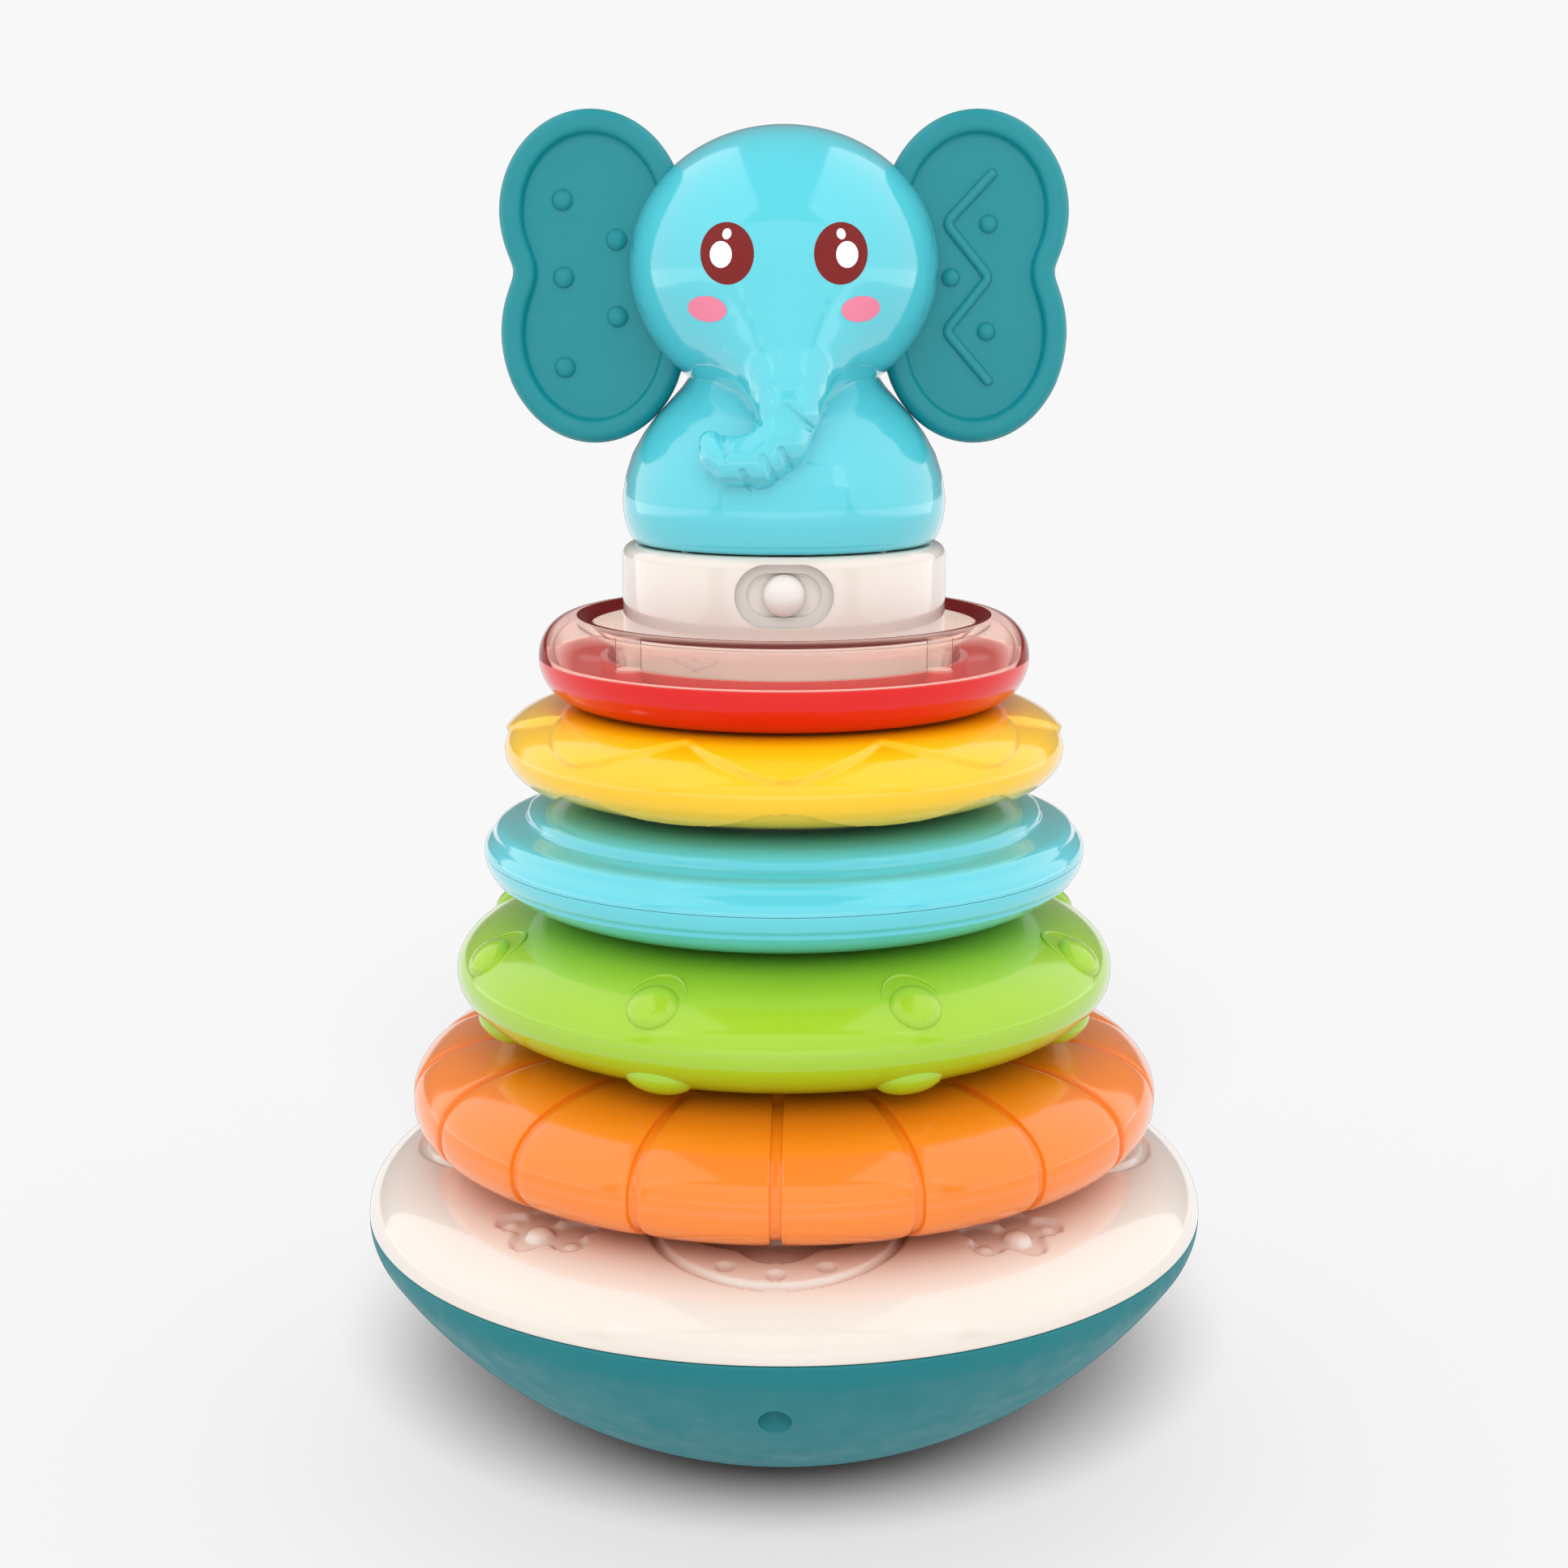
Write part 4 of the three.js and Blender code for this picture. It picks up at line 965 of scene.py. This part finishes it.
def elephant_blank():
    """A rough closed shape of the elephant, remeshed to even quads."""
    mesh = Mesh()
    body = np.array(BODY_PATH) + [0, BODY_LOW]
    body = np.concatenate([[[ON_AXIS, BODY_LOW]], body, [[ON_AXIS, BODY_LOW + 34]]])
    mesh.add(revolve(body, full_turn(64), closed=False))
    mesh.add(ellipsoid((0, 0, HEAD_Z), np.eye(3), (HEAD_R, HEAD_R, HEAD_UP), 32, 64))
    for a, b in zip(TRUNK[:-1], TRUNK[1:]):
        for share in (0, 0.33, 0.66):
            spot = np.array(a) * (1 - share) + np.array(b) * share
            mesh.add(ellipsoid(spot[:3], np.eye(3), [spot[3]] * 3, 8, 16))
    mesh.add(ellipsoid(TRUNK[-1][:3], np.eye(3), [TRUNK[-1][3]] * 3, 8, 16))
    obj = mesh.build("blank", [])
    modifier = obj.modifiers.new("even", "REMESH")
    modifier.mode, modifier.voxel_size = "VOXEL", 0.9 * MM
    made = bpy.data.meshes.new_from_object(obj.evaluated_get(bpy.context.evaluated_depsgraph_get()))
    bpy.data.objects.remove(obj)
    return made


def needs_detail(p):
    """True near the trunk and near the crease under the head."""
    near_trunk = np.all((p > TRUNK_BOX[0]) & (p < TRUNK_BOX[1]), axis=1)
    return near_trunk | (np.maximum(np.abs(head_distance(p)), np.abs(body_distance(p))) < NECK_CREASE)


def relaxed(mesh, rounds):
    """Moves each point of a mesh to the middle of its neighbours, then back onto the elephant's surface."""
    edges = np.zeros(len(mesh.edges) * 2, int)
    mesh.edges.foreach_get("vertices", edges)
    a, b = edges.reshape(-1, 2).T
    points = np.zeros(len(mesh.vertices) * 3)
    mesh.vertices.foreach_get("co", points)
    points = (points.reshape(-1, 3) - [0, 0, SEAM]) / MM
    count = np.bincount(np.r_[a, b], minlength=len(points))[:, None]
    for _ in range(rounds):
        total = np.zeros_like(points)
        np.add.at(total, a, points[b])
        np.add.at(total, b, points[a])
        points = points * 0.4 + total / np.maximum(count, 1) * 0.6
        for _ in range(2):
            points = points - downhill(points) * elephant_distance(points)[:, None]
    for _ in range(3):
        points = points - downhill(points) * elephant_distance(points)[:, None]
    mesh.vertices.foreach_set("co", (points * MM + [0, 0, SEAM]).ravel())
    mesh.update()


def make_elephant():
    mesh = elephant_blank()
    relaxed(mesh, 2)
    work = bmesh.new()
    work.from_mesh(mesh)
    centres = (np.array([f.calc_center_median()[:] for f in work.faces]) - [0, 0, SEAM]) / MM
    edges = {e for f, chosen in zip(work.faces, needs_detail(centres)) if chosen for e in f.edges}
    bmesh.ops.subdivide_edges(work, edges=list(edges), cuts=2, use_grid_fill=True)
    work.to_mesh(mesh)
    work.free()
    relaxed(mesh, 2)
    for sign, node in ((-1, "elephant_front"), (1, "elephant_rear")):
        half = bmesh.new()
        half.from_mesh(mesh)
        everything = half.verts[:] + half.edges[:] + half.faces[:]
        plane = {"plane_co": (0, sign * HAIRLINE * MM, 0), "plane_no": (0, -sign, 0)}
        made = bmesh.ops.bisect_plane(half, geom=everything, clear_outer=True, **plane)
        rim = [e for e in made["geom_cut"] if isinstance(e, bmesh.types.BMEdge)]
        bmesh.ops.holes_fill(half, edges=rim)
        data = bpy.data.meshes.new(node + "_shell")
        half.to_mesh(data)
        half.free()
        data.materials.append(SKY)
        shade(data, 60)
        obj = placed(node + "_shell", data)
        if sign > 0:
            drill_rear(obj)
        stand_in(obj, "elephant", "sky", node)


def drill_rear(obj):
    """The screw recesses and the speaker's holes in the rear shell."""
    recesses = [along_y(3.2, 6, 60, x, z) for x, z in ((-20, 146), (20, 146), (0, 200))]
    holes = [along_y(0.8, 24, 40, x, 152 + z) for x, z in ((0, 0), (-3, 0), (3, 0), (0, 3), (0, -3))]
    cut(obj, *recesses, *holes)


def along_y(radius, front, back, x, z):
    return slab(circle(radius, x, z, 28), front, back)


def on_face(x, z):
    """The front surface of the elephant at given X and Z."""
    p = np.stack([x, np.full(len(x), -40.0), z], 1)
    for _ in range(60):
        p[:, 1] += np.maximum(elephant_distance(p), 0) * 0.8
    return p


def printed(x, z, half_x, half_z, tilt, lift):
    """A thin oval patch that lies on the elephant's face."""
    rings, sides = 8, 40
    share = np.arange(1, rings + 1)[:, None] / rings
    u, v = half_x * np.cos(turns(sides)) * share, half_z * np.sin(turns(sides)) * share
    c, s = math.cos(math.radians(tilt)), math.sin(math.radians(tilt))
    front = on_face(np.r_[x, (x + u * c - v * s).ravel()], np.r_[z, (z + u * s + v * c).ravel()])
    faces = [[0, 1 + j, 1 + (j + 1) % sides] for j in range(sides)]
    faces += [[1 + quad[i] for i in (0, 3, 2, 1)] for quad in grid_faces(rings, sides, False)]
    return front + downhill(front) * lift, faces


PRINT, GLINT_PRINT = 0.05, 0.09  # how far the prints stand off the face


def make_face():
    for side, name in SIDES:
        eye = Mesh()
        eye.add(printed(side * 10.2, 187.8, 4.85, 5.5, side * -3, PRINT), 0)
        eye.add(printed(side * 11.3, 187.6, 2.0, 2.35, 0, GLINT_PRINT), 1)
        eye.add(printed(side * 10.2, 191.2, 0.8, 0.98, side * 18, GLINT_PRINT), 1)
        cheek = Mesh().add(printed(side * 13.9, 178, 3.6, 2.3, side * 7, PRINT))
        eye = eye.build(f"{name}_eye_print", [EYE, GLINT], 80)
        cheek = cheek.build(f"{name}_cheek_print", [CHEEK], 80)
        for patch in (eye, cheek):
            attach(patch, "elephant")


EAR_X, EAR_MIDDLE_Z = 36.3, 184.4
EAR_LOBES = [(195.7, 17.5, 19.0), (173.0, 17.6, 20.4)]  # height, half width and half height of each oval
EAR_LONG, EAR_WAIST = 30.0, 1.1  # a middling half length, and how round the waist between the lobes is
EAR_ROWS = [  # how far in from the outline, and half the thickness there
    (0, 0), (0, 1.2), (0.05, 2.2), (0.35, 3.0), (0.9, 3.6), (1.6, 3.92), (2.4, 4.0),
    (3.2, 3.95), (3.8, 3.75), (4.2, 3.4), (4.4, 2.9), (4.55, 2.4), (4.8, 2.1), (5.2, 2.0),
]
EAR_DOTS = {  # x, z and radius, for either side
    -1: [(41.8, 198.0, 2.0), (31.7, 190.7, 2.0), (41.8, 183.7, 2.0), (31.7, 176.4, 2.0), (41.8, 166.9, 2.0)],
    1: [(38.6, 193.6, 1.75), (31.6, 183.7, 1.75), (38.5, 173.6, 1.75)],
}
EAR_ZIGZAG = [(39.1, 202.8), (30.6, 193.7), (38.9, 183.7), (30.8, 173.7), (38.9, 164.4)]


def ear_outline(count=160):
    """Points round an ear on the +X side, with the unit directions that point into it."""
    c, s = np.cos(turns(count)), np.sin(turns(count))
    longest = np.zeros(count)
    for z, a, b in EAR_LOBES:
        dz = EAR_MIDDLE_Z - z
        qa, qb, qc = (c / a) ** 2 + (s / b) ** 2, 2 * s * dz / b**2, (dz / b) ** 2 - 1
        hit = (-qb + np.sqrt(qb**2 - 4 * qa * qc)) / (2 * qa)
        longest = longest + np.exp((hit - EAR_LONG) / EAR_WAIST)
    radius = EAR_LONG + np.log(longest) * EAR_WAIST
    path = np.stack([radius * c, radius * s], 1)
    run = np.roll(path, -1, 0) - np.roll(path, 1, 0)
    run /= np.linalg.norm(run, axis=1)[:, None]
    return path, np.stack([-run[:, 1], run[:, 0]], 1)


def make_ear(side, node):
    path, inward = ear_outline()
    path[:, 1] = np.minimum(path[:, 1], high_of(node) - EAR_MIDDLE_Z)
    count = len(path)
    rows = [(path + inward * d, y) for d, y in EAR_ROWS]
    last, panel = rows[-1]
    for share in np.linspace(1, 0, 9)[1:-1]:
        rows.append((last * share, panel))
    ear = Mesh()
    for facing in (-1, 1):
        points = []
        for p, y in rows:
            across = side * (EAR_X + p[:, 0])
            points.append(np.stack([across, np.full(count, facing * y), EAR_MIDDLE_Z + p[:, 1]], 1))
        points = np.concatenate(points + [[[side * EAR_X, facing * panel, EAR_MIDDLE_Z]]])
        faces = grid_faces(len(rows), count, False)
        inner = (len(rows) - 1) * count
        faces += [[inner + j, inner + (j + 1) % count, len(points) - 1] for j in range(count)]
        ear.add((points, faces if facing * side > 0 else [f[::-1] for f in faces]))
    for x, z, radius in EAR_DOTS[side]:
        ear.add(ellipsoid((side * x, -panel, z), ((1, 0, 0), (0, 0, 1), (0, -1, 0)), (radius, radius, 1.3)))
    if side > 0:
        zigzag = rounded(with_corners([(x, -panel - 0.05, z) for x, z in EAR_ZIGZAG], 3.0), 3)
        ear.add(tube(zigzag, 1.0))
    obj = ear.build(node + "_skin", [EAR_TEAL], 50)
    merge_close(obj)
    stand_in(obj, "elephant", "teal", node)


def merge_close(obj):
    work = bmesh.new()
    work.from_mesh(obj.data)
    bmesh.ops.remove_doubles(work, verts=work.verts, dist=1e-6)
    bmesh.ops.recalc_face_normals(work, faces=work.faces)
    work.to_mesh(obj.data)
    work.free()
    shade(obj.data, 50)


# -------- put together
make_bowl()
make_cover()
make_post()
make_rings()
make_red()
make_collar()
make_knob()
make_elephant()
make_face()
for side, name in SIDES:
    make_ear(side, name + "_ear")

INNER = {  # the CAD nodes that still show; the others are screws
    "base_weight": IRON, "circuit_board": BOARD, "slide_switch": DARK, "speaker": DARK,
    "collar_floor": CREAM, "battery_door": CREAM,
}
for name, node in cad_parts.items():
    if node.hide_render:
        continue
    finish = INNER.get(name, STEEL)
    for slot in node.material_slots:
        slot.material = finish
    if not node.material_slots:
        node.data.materials.append(finish)

# -------- floor, light and camera
floor_mesh = bpy.data.meshes.new("floor")
floor_mesh.from_pydata([(-6, -6, 0), (6, -6, 0), (6, 6, 0), (-6, 6, 0)], [], [(0, 1, 2, 3)])
floor = placed("floor", floor_mesh)
paper = bpy.data.materials.new("floor_paper")
paper.use_nodes = True
surface = paper.node_tree.nodes["Principled BSDF"]
wire(paper.node_tree, surface, {"Base Color": (0.36, 0.36, 0.36, 1), "Roughness": 0.9})
floor_mesh.materials.append(paper)
floor.is_shadow_catcher = True
floor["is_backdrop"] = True


TOY_MIDDLE = Vector((0, 0, 0.13))
toy_only = bpy.data.collections.new("toy_only")
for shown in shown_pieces():
    toy_only.objects.link(shown)


def softbox(name, azimuth, elevation, distance, width, height, radiance):
    """A soft panel that faces the toy, in metres. Azimuth 0 is in front and 90 on the right."""
    light = bpy.data.lights.new(name, "AREA")
    light.shape, light.size, light.size_y = "RECTANGLE", width, height
    light.energy = radiance * math.pi * width * height
    lamp = placed(name, light)
    a, e = math.radians(azimuth), math.radians(elevation)
    out = Vector((math.sin(a) * math.cos(e), -math.cos(a) * math.cos(e), math.sin(e)))
    lamp.location = TOY_MIDDLE + out * distance
    lamp.rotation_mode = "QUATERNION"
    lamp.rotation_quaternion = out.to_track_quat("Z", "Y")
    lamp.light_linking.receiver_collection = toy_only
    return lamp


boxes = [
    softbox("front_box", 0, 40, 1.0, 1.1, 0.6, 1.35),
    softbox("low_box", 0, -4, 1.0, 1.4, 0.3, 0.2),
    *[softbox(name + "_box", side * 118, 18, 0.9, 0.75, 0.8, 0.8) for side, name in SIDES],
    softbox("top_box", 0, 88, 1.2, 0.9, 0.9, 0.8),
]
# Large panels round the toy that only show as its reflections.
panels = [
    softbox("front_panel", 0, 14, 1.0, 1.9, 1.1, 0.75),
    *[softbox(name + "_panel", side * 91, 30, 0.9, 1.7, 1.7, 0.95) for side, name in SIDES],
]
for box in boxes:
    box.visible_glossy = False
for panel in panels:
    panel.visible_diffuse = False

# A broad light on the floor from the front, so that the shadow gathers close under the bowl.
floor_only = bpy.data.collections.new("floor_only")
floor_only.objects.link(floor)
floor_light = placed("floor_light", bpy.data.lights.new("floor_light", "SUN"))
floor_light.data.energy = 8.0
floor_light.data.angle = math.radians(30)
floor_light.rotation_euler = (math.radians(90 - 42), 0, 0)
floor_light.light_linking.receiver_collection = floor_only

world = bpy.data.worlds.new("studio")
scene.world = world
world.use_nodes = True
tree = world.node_tree
tree.nodes.clear()
paths = tree.nodes.new("ShaderNodeLightPath").outputs


def sky(level):
    return added(tree, "Background", {"Color": (1, 1, 1, 1), "Strength": level})[0]


def chosen(condition, otherwise, then):
    return added(tree, "MixShader", {0: paths[condition], 1: otherwise, 2: then})[0]


BACKGROUND = 0.939
lighting = chosen("Is Glossy Ray", sky(0.9), sky(0.25))
lighting = chosen("Is Transmission Ray", lighting, sky(BACKGROUND))
lighting = chosen("Is Camera Ray", lighting, sky(BACKGROUND))
added(tree, "OutputWorld", {0: lighting})

LOOKING_DOWN = 11.51  # degrees
lens = bpy.data.cameras.new("camera")
lens.lens, lens.sensor_width = 55.53, 36.0
lens.clip_start, lens.clip_end = 0.01, 50
camera = placed("camera", lens)
camera.location = (0, -0.4709, 0.2300)
camera.rotation_euler = (math.radians(90 - LOOKING_DOWN), 0, 0)
bpy.context.scene.camera = camera
scene.view_settings.view_transform = "Standard"
